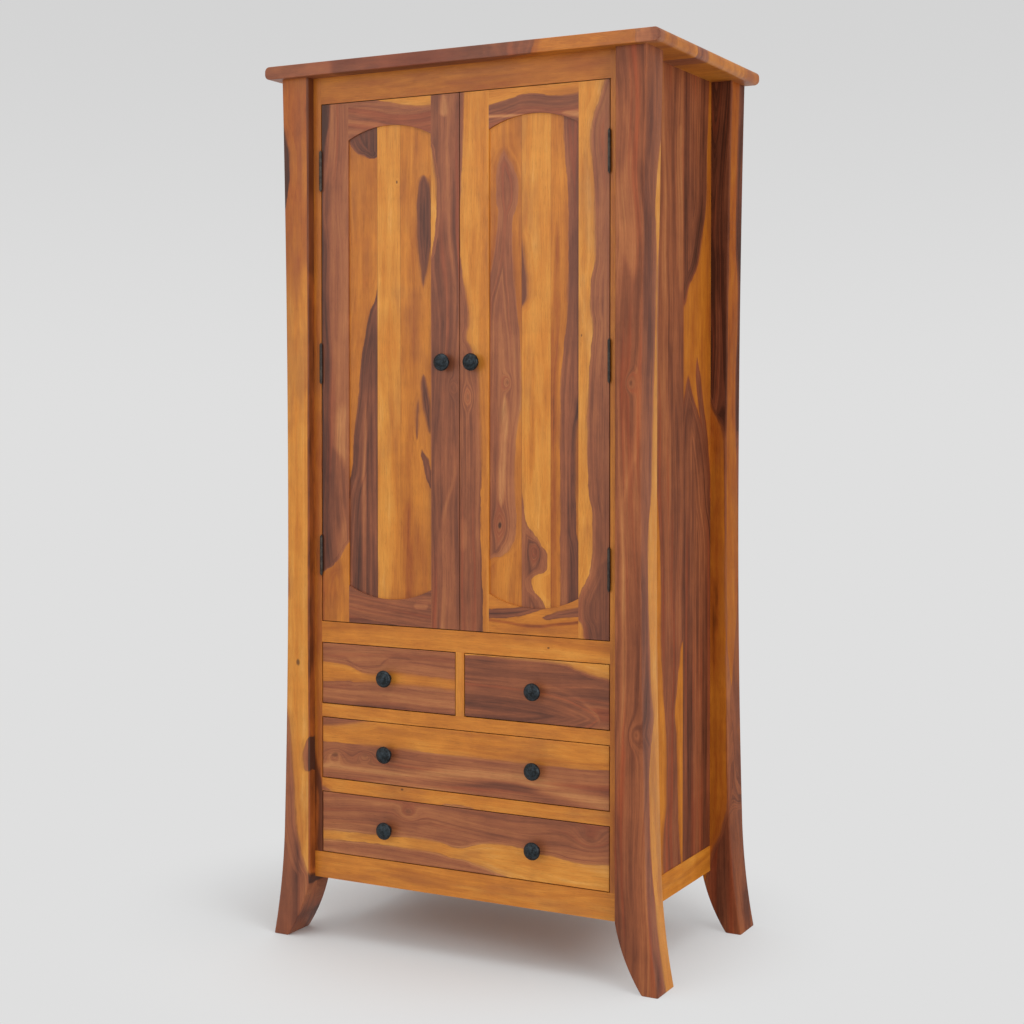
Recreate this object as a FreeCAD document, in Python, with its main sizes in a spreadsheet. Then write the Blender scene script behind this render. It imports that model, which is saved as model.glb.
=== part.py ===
import FreeCAD, Part
import os
import Sketcher

# Two-door armoire with four drawers on splayed legs.  Millimetres, +Z up, the front faces -Y.
# The origin is on the floor, below the middle of the top slab.

doc = FreeCAD.newDocument("Armoire")

# ---------------------------------------------------------------- driving sizes
size = doc.addObject("Spreadsheet::Sheet", "Size")

driving_sizes = [
    # face frame, from the floor up
    ("foot_height", 145),
    ("bottom_rail_height", 61),
    ("drawer_opening_height", 146),
    ("drawer_rail_height", 31),
    ("waist_rail_height", 49),
    ("door_opening_height", 1220),
    ("top_rail_height", 62),
    ("opening_width", 750),
    ("stile_width", 21),
    ("divider_width", 22),
    ("face_thickness", 22),
    # case
    ("case_depth", 594),
    ("side_rail_thickness", 24),
    ("side_panel_thickness", 22.5),
    ("back_inset", 6),
    ("back_rail_thickness", 22),
    ("back_panel_thickness", 10),
    ("back_panel_lap", 20),
    # legs: widths are measured outwards from the leg's straight inner face
    ("leg_proud", 23),
    ("leg_depth", 90),
    ("leg_top_width", 74),
    ("leg_waist_width", 61.3),
    ("leg_waist_height", 1000),
    ("leg_ankle_width", 73),
    ("leg_ankle_height", 260),
    ("foot_outer_width", 103),
    ("foot_inner_width", 63.5),
    ("foot_curve_height", 150),
    ("foot_curve_radius", 384),
    # top slab
    ("top_thickness", 30),
    ("top_front_overhang", 18),
    ("top_end_overhang", 37),
    ("top_nose_radius", 12),
    ("top_ease", 2),
    # doors
    ("door_thickness", 20),
    ("door_stile_width", 74),
    ("door_rail_end_height", 87),
    ("arch_rise", 28),
    ("groove_overrun", 1),
    ("door_gap", 2),
    ("meeting_gap", 2),
    ("panel_thickness", 9),
    ("panel_setback", 4),
    ("panel_tongue", 9),
    ("panel_float", 1),
    # hinges
    ("hinge_gap", 2.4),
    ("hinge_length", 91),
    ("hinge_end_distance", 157),
    ("hinge_proud", 4),
    ("leaf_thickness", 1),
    ("leaf_depth", 18),
    ("knuckle_radius", 3.5),
    ("knuckle_gap", 0.2),
    ("pin_radius", 1.5),
    ("pin_clearance", 0.05),
    ("pin_head_radius", 3),
    ("pin_head_height", 1.2),
    # knobs
    ("knob_projection", 30),
    ("knob_radius", 20),
    ("knob_rim_height", 19),
    ("knob_rim_thickness", 4),
    ("knob_neck_radius", 7),
    ("knob_neck_height", 11),
    ("knob_base_radius", 10),
    ("knob_base_height", 3),
    ("knob_cone_rise", 2),
    # drawers
    ("drawer_gap", 2),
    ("drawer_front_thickness", 20),
    ("drawer_ease", 1),
    ("drawer_side_thickness", 12),
    ("drawer_side_height", 112),
    ("drawer_back_room", 53),
    ("drawer_side_play", 1.5),
    ("drawer_lift", 0.5),
    ("drawer_bottom_thickness", 6),
    ("drawer_bottom_height", 8),
    ("drawer_groove_depth", 6),
    ("drawer_bottom_float", 1),
    ("runner_thickness", 20),
    ("runner_lip", 24),
    ("guide_height", 20),
    # inside the wardrobe
    ("floor_thickness", 18),
    ("shelf_thickness", 18),
    ("shelf_drop", 300),
    ("shelf_setback", 45),
    ("cleat_side", 22),
    ("rod_drop", 70),
    ("rod_radius", 14),
    ("rod_clearance", 0.2),
    ("socket_flange_radius", 26),
    ("socket_flange_thickness", 4),
    ("socket_cup_radius", 18),
    ("socket_cup_depth", 12),
    # door catch
    ("catch_width", 60),
    ("catch_depth", 16),
    ("catch_height", 46),
    ("catch_hang", 22),
    ("strike_thickness", 1.5),
    ("strike_width", 18),
    ("strike_height", 14),
    ("strike_edge", 5),
]

# Heights, fronts and faces that follow from the driving sizes.
layout = doc.addObject("Spreadsheet::Sheet", "Layout")

worked_out = [
    ("half_opening", "Size.opening_width / 2"),
    ("inner_face", "half_opening + Size.stile_width"),
    ("inner_width", "inner_face * 2"),
    ("leg_front", "(Size.top_front_overhang - Size.case_depth) / 2"),
    ("leg_back", "leg_front + Size.leg_depth"),
    ("face_front", "leg_front + Size.leg_proud"),
    ("face_back", "face_front + Size.face_thickness"),
    ("case_back", "leg_front + Size.case_depth"),
    ("rear_leg_front", "case_back - Size.leg_depth"),
    ("back_rail_front", "case_back - Size.back_inset - Size.back_rail_thickness"),
    ("back_panel_front", "back_rail_front - Size.back_panel_thickness"),
    ("inner_depth", "back_panel_front - face_back"),
    ("side_length", "rear_leg_front - leg_back"),
    ("row_step", "Size.drawer_opening_height + Size.drawer_rail_height"),
    ("row_one", "Size.foot_height + Size.bottom_rail_height"),
    ("row_two", "row_one + row_step"),
    ("row_three", "row_two + row_step"),
    ("waist_base", "row_three + Size.drawer_opening_height"),
    ("door_base", "waist_base + Size.waist_rail_height"),
    ("top_rail_base", "door_base + Size.door_opening_height"),
    ("case_top", "top_rail_base + Size.top_rail_height"),
    ("top_length", "(inner_face + Size.leg_top_width + Size.top_end_overhang) * 2"),
    ("top_depth", "Size.case_depth + Size.top_front_overhang"),
    ("door_width", "(Size.opening_width - Size.hinge_gap * 2 - Size.meeting_gap) / 2"),
    ("door_height", "Size.door_opening_height - Size.door_gap * 2"),
    ("door_rail_length", "door_width - Size.door_stile_width * 2"),
    ("crown_height", "Size.door_rail_end_height - Size.arch_rise"),
    ("groove_depth", "Size.panel_tongue + Size.panel_float"),
    ("arch_radius", "(door_rail_length ^ 2 / 4 + Size.arch_rise ^ 2) / (Size.arch_rise * 2)"),
    ("pivot_across", "half_opening - Size.hinge_gap / 2"),
    ("pivot_front", "face_front - Size.hinge_proud"),
    ("knuckle_pitch", "(Size.hinge_length + Size.knuckle_gap) / 5"),
    ("knuckle_length", "knuckle_pitch - Size.knuckle_gap"),
    ("shelf_base", "top_rail_base - Size.shelf_drop"),
    ("shelf_depth", "inner_depth - Size.shelf_setback"),
    ("rod_height", "shelf_base - Size.rod_drop"),
    ("small_opening", "half_opening - Size.divider_width / 2"),
    ("drawer_box_front", "face_front + Size.drawer_front_thickness"),
    ("drawer_side_length", "back_panel_front - Size.drawer_back_room - drawer_box_front"),
]


def fill_sheet(sheet, rows, prefix):
    for row, (name, content) in enumerate(rows, start=1):
        sheet.set("A%d" % row, name)
        sheet.set("B%d" % row, prefix + str(content))
        sheet.setAlias("B%d" % row, name)


fill_sheet(size, driving_sizes, "")
doc.recompute()
fill_sheet(layout, worked_out, "=")
doc.recompute()


def number(expression):
    """The present value of an expression, as a plain number."""
    value = layout.evalExpression(expression)
    return float(getattr(value, "Value", value))


def bind(target, settings):
    for path, expression in settings.items():
        target.setExpression(path, expression)


def place(target, corner, turned=None):
    """Put the local origin at corner; turned is an axis for half a turn about it."""
    if turned:
        axis = {"Y": FreeCAD.Vector(0, 1, 0), "Z": FreeCAD.Vector(0, 0, 1)}[turned]
        target.Placement = FreeCAD.Placement(FreeCAD.Vector(0, 0, 0), FreeCAD.Rotation(axis, 180))
    bind(target, dict(zip(("Placement.Base.x", "Placement.Base.y", "Placement.Base.z"), corner)))
    return target


# ---------------------------------------------------------------- shapes that repeat
sub_parts = []


def keep(target, label):
    """Name a finished sub-part."""
    target.Label = label
    sub_parts.append(target)
    return target


def block(extent, corner):
    """A plain sawn board."""
    board = doc.addObject("Part::Box", "Board")
    bind(board, dict(zip(("Length", "Width", "Height"), extent)))
    return place(board, corner)


def rod(radius, length, base, along="Z"):
    """A round bar along X or Z."""
    bar = doc.addObject("Part::Cylinder", "Bar")
    if along == "X":
        turn = FreeCAD.Rotation(FreeCAD.Vector(0, 1, 0), 90)
        bar.Placement = FreeCAD.Placement(FreeCAD.Vector(0, 0, 0), turn)
    bind(bar, {"Radius": radius, "Height": length})
    bind(bar, dict(zip(("Placement.Base.x", "Placement.Base.y", "Placement.Base.z"), base)))
    return bar


def cut(base, tool):
    result = doc.addObject("Part::Cut", "Cut")
    result.Base = base
    result.Tool = tool
    return result


def fuse(shapes):
    result = doc.addObject("Part::MultiFuse", "Fuse")
    result.Shapes = shapes
    return result


def group(members):
    """Separate solids that share one node."""
    result = doc.addObject("Part::Compound", "Group")
    result.Links = members
    return result


def new_body(name):
    return doc.addObject("PartDesign::Body", name)


def new_sketch(body, plane):
    sketch = body.newObject("Sketcher::SketchObject", body.Name + "Sketch")
    origin_plane = [f for f in body.Origin.OriginFeatures if f.Role == plane][0]
    sketch.AttachmentSupport = (origin_plane, [""])
    sketch.MapMode = "FlatFace"
    return sketch


def pin_point(sketch, geometry, point, across, up):
    """Hold a sketch point at two expressions; "0" puts it on the axis."""
    for kind, expression, axis in (("DistanceX", across, -2), ("DistanceY", up, -1)):
        if expression == "0":
            sketch.addConstraint(Sketcher.Constraint("PointOnObject", geometry, point, axis))
            continue
        value = number(expression)
        index = sketch.addConstraint(Sketcher.Constraint(kind, -1, 1, geometry, point, value))
        sketch.setExpression("Constraints[%d]" % index, expression)


def hold_radius(sketch, arc, radius):
    index = sketch.addConstraint(Sketcher.Constraint("Radius", arc, number(radius)))
    sketch.setExpression("Constraints[%d]" % index, radius)


def vector(across, up):
    return FreeCAD.Vector(number(across), number(up), 0)


def closed_outline(sketch, corners):
    """Straight lines through the corners, each corner held at its own two expressions."""
    count = len(corners)
    for index in range(count):
        start = vector(*corners[index])
        end = vector(*corners[(index + 1) % count])
        sketch.addGeometry(Part.LineSegment(start, end))
    for index in range(count):
        after = (index + 1) % count
        sketch.addConstraint(Sketcher.Constraint("Coincident", index, 2, after, 1))
    for index, (across, up) in enumerate(corners):
        pin_point(sketch, index, 1, across, up)


def add_arc(sketch, start, middle, end):
    """An arc through three points, always counter-clockwise, which is how a sketch stores it."""
    if (middle - start).cross(end - middle).z < 0:
        start, end = end, start
    return sketch.addGeometry(Part.Arc(start, middle, end))


def end_near(sketch, geometry, corner):
    """Which end of a line or arc lies at a corner: 1 for its start, 2 for its end."""
    curve = sketch.Geometry[geometry]
    target = vector(*corner)
    return 1 if (curve.StartPoint - target).Length < (curve.EndPoint - target).Length else 2


def pad(body, sketch, length):
    """Pad along +Z from the XY plane, or along +Y from the XZ plane."""
    feature = body.newObject("PartDesign::Pad", body.Name + "Pad")
    feature.Profile = sketch
    feature.Reversed = sketch.AttachmentSupport[0][0].Role == "XZ_Plane"
    feature.setExpression("Length", length)
    doc.recompute()
    return feature


def ease(body, feature, radius, wanted):
    """Round the edges that the test picks."""
    names = ["Edge%d" % (i + 1) for i, edge in enumerate(feature.Shape.Edges) if wanted(edge)]
    fillet = body.newObject("PartDesign::Fillet", body.Name + "Ease")
    fillet.Base = (feature, names)
    fillet.setExpression("Radius", radius)
    doc.recompute()
    return fillet


def profile_board(name, plane, corners, length):
    """A board of constant section."""
    body = new_body(name)
    sketch = new_sketch(body, plane)
    closed_outline(sketch, corners)
    pad(body, sketch, length)
    return body


def across_from(side, distance, width="0"):
    """Where a piece starts in X when its near edge is a distance from the middle, on one side."""
    if side == "right":
        return distance
    return "-(%s) - (%s)" % (distance, width)


# ---------------------------------------------------------------- top slab
def make_top_slab():
    body = profile_board("TopSlab", "XZ_Plane",
                         [("0", "0"), ("Layout.top_length", "0"),
                          ("Layout.top_length", "Size.top_thickness"), ("0", "Size.top_thickness")],
                         "Layout.top_depth")
    long_ends = ease(body, body.Tip, "Size.top_nose_radius",
                     lambda edge: abs(edge.tangentAt(edge.FirstParameter).y) > 0.9)

    def on_front_or_back(edge):
        box = edge.BoundBox
        return box.YLength < 0.001

    ease(body, long_ends, "Size.top_ease", on_front_or_back)
    place(body, ("-Layout.top_length / 2", "-Layout.top_depth / 2", "Layout.case_top"))
    keep(body, "top_slab")


# ---------------------------------------------------------------- legs
def make_leg(name, side, front):
    """A sabre leg: one side outline, padded through the leg's depth.

    The inner face is straight down to the foot, then sweeps outwards.  The outer face is three
    arcs: top to waist, waist to ankle, ankle to foot, upright at the waist and tangent below it.
    """
    body = new_body(name.title().replace("_", ""))
    sketch = new_sketch(body, "XZ_Plane")
    top_inner = ("0", "Layout.case_top")
    top_outer = ("Size.leg_top_width", "Layout.case_top")
    waist = ("Size.leg_waist_width", "Size.leg_waist_height")
    ankle = ("Size.leg_ankle_width", "Size.leg_ankle_height")
    foot_outer = ("Size.foot_outer_width", "0")
    foot_inner = ("Size.foot_inner_width", "0")
    curve_start = ("0", "Size.foot_curve_height")
    # how far each arc starts from its chord, before the constraints settle it
    upper_bow = 3.2
    lower_bow = 3.0
    foot_bow = 5.0
    sweep_bow = -8.7

    def bowed(start, end, bow):
        first = vector(*start)
        last = vector(*end)
        chord = last - first
        normal = FreeCAD.Vector(chord.y, -chord.x, 0).normalize()
        return add_arc(sketch, first, (first + last) * 0.5 + normal * bow, last)

    top = sketch.addGeometry(Part.LineSegment(vector(*top_inner), vector(*top_outer)))
    upper = bowed(top_outer, waist, upper_bow)
    lower = bowed(waist, ankle, lower_bow)
    foot = bowed(ankle, foot_outer, foot_bow)
    sole = sketch.addGeometry(Part.LineSegment(vector(*foot_outer), vector(*foot_inner)))
    sweep = bowed(foot_inner, curve_start, sweep_bow)
    inner = sketch.addGeometry(Part.LineSegment(vector(*curve_start), vector(*top_inner)))

    chain = [(top, top_outer, upper), (upper, waist, lower), (lower, ankle, foot),
             (foot, foot_outer, sole), (sole, foot_inner, sweep), (sweep, curve_start, inner),
             (inner, top_inner, top)]
    joints = [(before, end_near(sketch, before, corner), after, end_near(sketch, after, corner))
              for before, corner, after in chain]
    for (before, corner, after), joint in zip(chain, joints):
        kind = "Tangent" if corner is ankle else "Coincident"
        sketch.addConstraint(Sketcher.Constraint(kind, *joint))
        pin_point(sketch, joint[0], joint[1], *corner)
    at_waist = joints[1]
    for bend, waist_end in (at_waist[:2], at_waist[2:]):
        sketch.addConstraint(Sketcher.Constraint("Horizontal", bend, 3, bend, waist_end))
    hold_radius(sketch, sweep, "Size.foot_curve_radius")
    pad(body, sketch, "Size.leg_depth")
    base_front = "Layout.leg_front" if front else "Layout.rear_leg_front"
    if side == "right":
        place(body, ("Layout.inner_face", base_front, "0"))
    else:
        place(body, ("-Layout.inner_face", base_front + " + Size.leg_depth", "0"), turned="Z")
    keep(body, name)


# ---------------------------------------------------------------- face frame and case
def make_face_frame():
    between_stiles = "Size.opening_width"
    rails = [
        ("front_bottom_rail", "Layout.inner_width", "-Layout.inner_face", "Size.foot_height",
         "Size.bottom_rail_height"),
        ("lower_drawer_rail", between_stiles, "-Layout.half_opening",
         "Layout.row_two - Size.drawer_rail_height", "Size.drawer_rail_height"),
        ("upper_drawer_rail", between_stiles, "-Layout.half_opening",
         "Layout.row_three - Size.drawer_rail_height", "Size.drawer_rail_height"),
        ("waist_rail", between_stiles, "-Layout.half_opening", "Layout.waist_base",
         "Size.waist_rail_height"),
        ("front_top_rail", between_stiles, "-Layout.half_opening", "Layout.top_rail_base",
         "Size.top_rail_height"),
    ]
    for label, length, start, base, height in rails:
        extent = (length, "Size.face_thickness", height)
        keep(block(extent, (start, "Layout.face_front", base)), label)
    extent = ("Size.divider_width", "Size.face_thickness", "Size.drawer_opening_height")
    corner = ("-Size.divider_width / 2", "Layout.face_front", "Layout.row_three")
    keep(block(extent, corner), "drawer_divider")
    for side in ("left", "right"):
        extent = ("Size.stile_width", "Size.face_thickness", "Layout.case_top - Layout.row_one")
        start = across_from(side, "Layout.half_opening", "Size.stile_width")
        keep(block(extent, (start, "Layout.face_front", "Layout.row_one")), "front_stile_" + side)


def make_case():
    for side in ("left", "right"):
        extent = ("Size.side_rail_thickness", "Layout.side_length", "Size.bottom_rail_height")
        start = across_from(side, "Layout.inner_face", "Size.side_rail_thickness")
        keep(block(extent, (start, "Layout.leg_back", "Size.foot_height")), "side_rail_" + side)
        extent = ("Size.side_panel_thickness", "Layout.side_length", "Layout.case_top - Layout.row_one")
        start = across_from(side, "Layout.inner_face", "Size.side_panel_thickness")
        keep(block(extent, (start, "Layout.leg_back", "Layout.row_one")), "side_panel_" + side)
    panel_base = "Size.foot_height + Size.back_panel_lap"
    extent = ("Layout.inner_width", "Size.back_panel_thickness",
              "Layout.case_top - Size.back_panel_lap - (%s)" % panel_base)
    keep(block(extent, ("-Layout.inner_face", "Layout.back_panel_front", panel_base)), "back_panel")
    back_rails = []
    for base, height in (("Size.foot_height", "Size.bottom_rail_height"),
                         ("Layout.waist_base", "Size.waist_rail_height"),
                         ("Layout.top_rail_base", "Size.top_rail_height")):
        extent = ("Layout.inner_width", "Size.back_rail_thickness", height)
        back_rails.append(block(extent, ("-Layout.inner_face", "Layout.back_rail_front", base)))
    keep(group(back_rails), "back_rails")
    extent = ("Layout.inner_width", "Layout.inner_depth", "Size.floor_thickness")
    corner = ("-Layout.inner_face", "Layout.face_back", "Layout.door_base - Size.floor_thickness")
    keep(block(extent, corner), "wardrobe_floor")


# ---------------------------------------------------------------- inside the wardrobe
def make_wardrobe_fittings():
    shelf_front = "Layout.face_back + Size.shelf_setback"
    extent = ("Layout.inner_width", "Layout.shelf_depth", "Size.shelf_thickness")
    keep(block(extent, ("-Layout.inner_face", shelf_front, "Layout.shelf_base")), "wardrobe_shelf")
    for label, front, depth, base in (
            ("shelf_cleats", shelf_front, "Layout.shelf_depth", "Layout.shelf_base - Size.cleat_side"),
            ("top_cleats", "Layout.face_back", "Layout.inner_depth",
             "Layout.case_top - Size.cleat_side")):
        cleats = []
        for side in ("left", "right"):
            start = across_from(side, "Layout.inner_face - Size.cleat_side", "Size.cleat_side")
            cleats.append(block(("Size.cleat_side", depth, "Size.cleat_side"), (start, front, base)))
        keep(group(cleats), label)

    middle = "(Layout.face_back + Layout.back_panel_front) / 2"
    seat = "Layout.inner_face - Size.socket_flange_thickness"
    bar = rod("Size.rod_radius", "(%s) * 2" % seat, ("-(%s)" % seat, middle, "Layout.rod_height"), "X")
    keep(bar, "hanging_rod")
    sockets = []
    for side in ("left", "right"):
        flange_start = across_from(side, seat, "Size.socket_flange_thickness")
        cup_start = across_from(side, "(%s) - Size.socket_cup_depth" % seat, "Size.socket_cup_depth")
        flange = rod("Size.socket_flange_radius", "Size.socket_flange_thickness",
                     (flange_start, middle, "Layout.rod_height"), "X")
        cup = rod("Size.socket_cup_radius", "Size.socket_cup_depth",
                  (cup_start, middle, "Layout.rod_height"), "X")
        hollow = rod("Size.rod_radius + Size.rod_clearance", "Size.socket_cup_depth",
                     (cup_start, middle, "Layout.rod_height"), "X")
        sockets.append(fuse([flange, cut(cup, hollow)]))
    keep(group(sockets), "rod_sockets")


# ---------------------------------------------------------------- drawer runners
def make_runners():
    """An L-section batten at each side: the drawer rides on the lip and the guide steers it."""
    guide = "Size.stile_width"
    width = "Size.runner_lip + " + guide
    height = "Size.runner_thickness + Size.guide_height"
    section = [("0", "0"), (width, "0"), (width, height), ("Size.runner_lip", height),
               ("Size.runner_lip", "Size.runner_thickness"), ("0", "Size.runner_thickness")]
    for side in ("left", "right"):
        battens = []
        for row in ("row_one", "row_two", "row_three"):
            body = profile_board("Runner", "XZ_Plane", section, "Layout.inner_depth")
            base = "Layout.%s - Size.runner_thickness" % row
            if side == "right":
                corner = ("Layout.half_opening - Size.runner_lip", "Layout.face_back", base)
                place(body, corner)
            else:
                corner = ("Size.runner_lip - Layout.half_opening", "Layout.back_panel_front", base)
                place(body, corner, turned="Z")
            battens.append(body)
        keep(group(battens), "drawer_runners_" + side)

    width = "Size.runner_lip * 2 + Size.divider_width"
    far_lip = "Size.runner_lip + Size.divider_width"
    section = [("0", "0"), (width, "0"), (width, "Size.runner_thickness"),
               (far_lip, "Size.runner_thickness"), (far_lip, height), ("Size.runner_lip", height),
               ("Size.runner_lip", "Size.runner_thickness"), ("0", "Size.runner_thickness")]
    body = profile_board("CentreRunner", "XZ_Plane", section, "Layout.inner_depth")
    corner = ("-(%s) / 2" % width, "Layout.face_back", "Layout.row_three - Size.runner_thickness")
    keep(place(body, corner), "drawer_runner_center")


# ---------------------------------------------------------------- knobs
def make_knob(across, up):
    """A turned knob on a short neck, pointing out of the face at -Y."""
    body = new_body("Knob")
    sketch = new_sketch(body, "XY_Plane")
    rim_back = "Size.knob_rim_height - Size.knob_rim_thickness"
    stations = [("0", "0"), ("Size.knob_base_radius", "0"),
                ("Size.knob_base_radius", "Size.knob_base_height"),
                ("Size.knob_neck_radius", "Size.knob_base_height + Size.knob_cone_rise"),
                ("Size.knob_neck_radius", "Size.knob_neck_height"),
                ("Size.knob_radius", rim_back),
                ("Size.knob_radius", "Size.knob_rim_height"),
                ("0", "Size.knob_projection")]
    for start, end in zip(stations[:-2], stations[1:-1]):
        sketch.addGeometry(Part.LineSegment(vector(*start), vector(*end)))
    lines = len(stations) - 2
    rise = number("Size.knob_projection - Size.knob_rim_height")
    reach = number("Size.knob_radius")
    radius = (reach ** 2 + rise ** 2) / (2 * rise)
    halfway_up = number("Size.knob_projection") - radius + (radius ** 2 - reach ** 2 / 4) ** 0.5
    halfway = FreeCAD.Vector(reach / 2, halfway_up, 0)
    dome = add_arc(sketch, vector(*stations[-2]), halfway, vector(*stations[-1]))
    rim_end = end_near(sketch, dome, stations[-2])
    axis_line = sketch.addGeometry(Part.LineSegment(vector(*stations[-1]), vector(*stations[0])))
    for index in range(lines - 1):
        sketch.addConstraint(Sketcher.Constraint("Coincident", index, 2, index + 1, 1))
    sketch.addConstraint(Sketcher.Constraint("Coincident", lines - 1, 2, dome, rim_end))
    sketch.addConstraint(Sketcher.Constraint("Coincident", dome, 3 - rim_end, axis_line, 1))
    sketch.addConstraint(Sketcher.Constraint("Coincident", axis_line, 2, 0, 1))
    for index in range(lines):
        pin_point(sketch, index, 1, *stations[index])
    pin_point(sketch, lines - 1, 2, *stations[-2])
    pin_point(sketch, axis_line, 1, *stations[-1])
    sketch.addConstraint(Sketcher.Constraint("PointOnObject", dome, 3, -2))
    turning = body.newObject("PartDesign::Revolution", "Turning")
    turning.Profile = sketch
    turning.ReferenceAxis = (sketch, ["V_Axis"])
    turning.Angle = 360
    return place(body, (across, "Layout.face_front", up), turned="Z")


# ---------------------------------------------------------------- doors
def make_door_rail():
    """A rail with one arched edge, a tongue at each end and a groove for the panel.

    It is drawn arch upwards, from its lower left corner; the top rail is the same piece turned over.
    """
    body = new_body("DoorRail")
    sketch = new_sketch(body, "XZ_Plane")
    length = "Layout.door_rail_length"
    end_height = "Size.door_rail_end_height"
    corners = [("0", end_height), ("0", "0"), (length, "0"), (length, end_height)]
    for start, end in zip(corners[:-1], corners[1:]):
        sketch.addGeometry(Part.LineSegment(vector(*start), vector(*end)))
    lowest = FreeCAD.Vector(number(length) / 2, number("Layout.crown_height"), 0)
    arch = add_arc(sketch, vector(*corners[3]), lowest, vector(*corners[0]))
    right_end = end_near(sketch, arch, corners[3])
    for index in range(2):
        sketch.addConstraint(Sketcher.Constraint("Coincident", index, 2, index + 1, 1))
    sketch.addConstraint(Sketcher.Constraint("Coincident", 2, 2, arch, right_end))
    sketch.addConstraint(Sketcher.Constraint("Coincident", 0, 1, arch, 3 - right_end))
    for index in range(3):
        pin_point(sketch, index, 1, *corners[index])
    pin_point(sketch, 2, 2, *corners[3])
    hold_radius(sketch, arch, "Layout.arch_radius")
    pad(body, sketch, "Size.door_thickness")

    tongue_height = "Layout.crown_height - Layout.groove_depth"
    tongue_extent = ("Size.panel_tongue", "Size.panel_thickness", tongue_height)
    left_tongue = block(tongue_extent, ("-Size.panel_tongue", "Size.panel_setback", "0"))
    right_tongue = block(tongue_extent, (length, "Size.panel_setback", "0"))
    groove_height = "Size.arch_rise + Layout.groove_depth + Size.groove_overrun"
    groove_extent = (length, "Size.panel_thickness", groove_height)
    groove = block(groove_extent, ("0", "Size.panel_setback", tongue_height))
    return fuse([cut(body, groove), left_tongue, right_tongue])


def make_door_stile():
    """An upright with a groove down its inner edge, drawn with the groove facing +X."""
    width = "Size.door_stile_width"
    floor_of_groove = width + " - Layout.groove_depth"
    groove_back = "Size.panel_setback + Size.panel_thickness"
    section = [("0", "0"), (width, "0"), (width, "Size.panel_setback"),
               (floor_of_groove, "Size.panel_setback"), (floor_of_groove, groove_back),
               (width, groove_back), (width, "Size.door_thickness"), ("0", "Size.door_thickness")]
    return profile_board("DoorStile", "XY_Plane", section, "Layout.door_height")


def make_door(side):
    low = "(Layout.door_base + Size.door_gap)"
    high = "(%s + Layout.door_height)" % low
    front = "Layout.face_front"
    outer = "(Layout.half_opening - Size.hinge_gap)"
    inner = "(Size.meeting_gap / 2)"
    name = "door_" + side + "_"

    if side == "left":
        left_edge = "-" + outer
        right_edge = "-" + inner
        left_name, right_name = "hinge_stile", "meeting_stile"
    else:
        left_edge = inner
        right_edge = outer
        left_name, right_name = "meeting_stile", "hinge_stile"
    keep(place(make_door_stile(), (left_edge, front, low)), name + left_name)
    keep(place(make_door_stile(), (right_edge, front, high), turned="Y"), name + right_name)

    rail_left = "(%s + Size.door_stile_width)" % left_edge
    rail_right = "(%s - Size.door_stile_width)" % right_edge
    keep(place(make_door_rail(), (rail_left, front, low)), name + "bottom_rail")
    keep(place(make_door_rail(), (rail_right, front, high), turned="Y"), name + "top_rail")

    panel_edge = "(Layout.crown_height - Size.panel_tongue)"
    extent = ("Layout.door_rail_length + Size.panel_tongue * 2", "Size.panel_thickness",
              "Layout.door_height - %s * 2" % panel_edge)
    corner = ("%s - Size.panel_tongue" % rail_left, "%s + Size.panel_setback" % front,
              "%s + %s" % (low, panel_edge))
    keep(block(extent, corner), name + "panel")

    knob_across = "(%s + Size.door_stile_width / 2)" % inner
    if side == "left":
        knob_across = "-" + knob_across
    knob_up = "Layout.door_base + Size.door_opening_height / 2"
    keep(make_knob(knob_across, knob_up), name + "knob")

    strike_extent = ("Size.strike_width", "Size.strike_thickness", "Size.strike_height")
    strike_start = across_from(side, "%s + Size.strike_edge" % inner, "Size.strike_width")
    strike_up = "Layout.top_rail_base - (Size.catch_hang + Size.strike_height) / 2"
    strike_front = "%s + Size.door_thickness" % front
    keep(block(strike_extent, (strike_start, strike_front, strike_up)), name + "strike_plate")


def make_catch():
    extent = ("Size.catch_width", "Size.catch_depth", "Size.catch_height")
    corner = ("-Size.catch_width / 2", "Layout.face_back", "Layout.top_rail_base - Size.catch_hang")
    keep(block(extent, corner), "door_catch")


# ---------------------------------------------------------------- hinges
hinge_heights = [
    "Layout.door_base + Size.hinge_end_distance",
    "Layout.door_base + Size.door_opening_height / 2",
    "Layout.top_rail_base - Size.hinge_end_distance",
]


def make_leaf(knuckles, outward):
    """One leaf: a flat plate in the gap behind the barrel, and its own knuckles.

    It is drawn about the pin, for the right-hand door; outward is the frame's side.
    """
    plate_start = "Size.hinge_gap / 2 - Size.leaf_thickness"
    if not outward:
        plate_start = "-Size.hinge_gap / 2"
    plate = block(("Size.leaf_thickness", "Size.leaf_depth", "Size.hinge_length"),
                  (plate_start, "Size.hinge_proud", "-Size.hinge_length / 2"))
    solids = [plate]
    for knuckle in knuckles:
        base = "Layout.knuckle_pitch * %d - Size.hinge_length / 2" % knuckle
        barrel = rod("Size.knuckle_radius", "Layout.knuckle_length", ("0", "0", base))
        web = block(("Size.leaf_thickness", "Size.hinge_proud", "Layout.knuckle_length"),
                    (plate_start, "0", base))
        solids += [barrel, web]
    bore = rod("Size.pin_radius + Size.pin_clearance", "Size.hinge_length",
               ("0", "0", "-Size.hinge_length / 2"))
    return cut(fuse(solids), bore)


def make_pin():
    shaft = rod("Size.pin_radius", "Size.hinge_length", ("0", "0", "-Size.hinge_length / 2"))
    upper = rod("Size.pin_head_radius", "Size.pin_head_height", ("0", "0", "Size.hinge_length / 2"))
    lower = rod("Size.pin_head_radius", "Size.pin_head_height",
                ("0", "0", "-Size.hinge_length / 2 - Size.pin_head_height"))
    return fuse([shaft, upper, lower])


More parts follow.
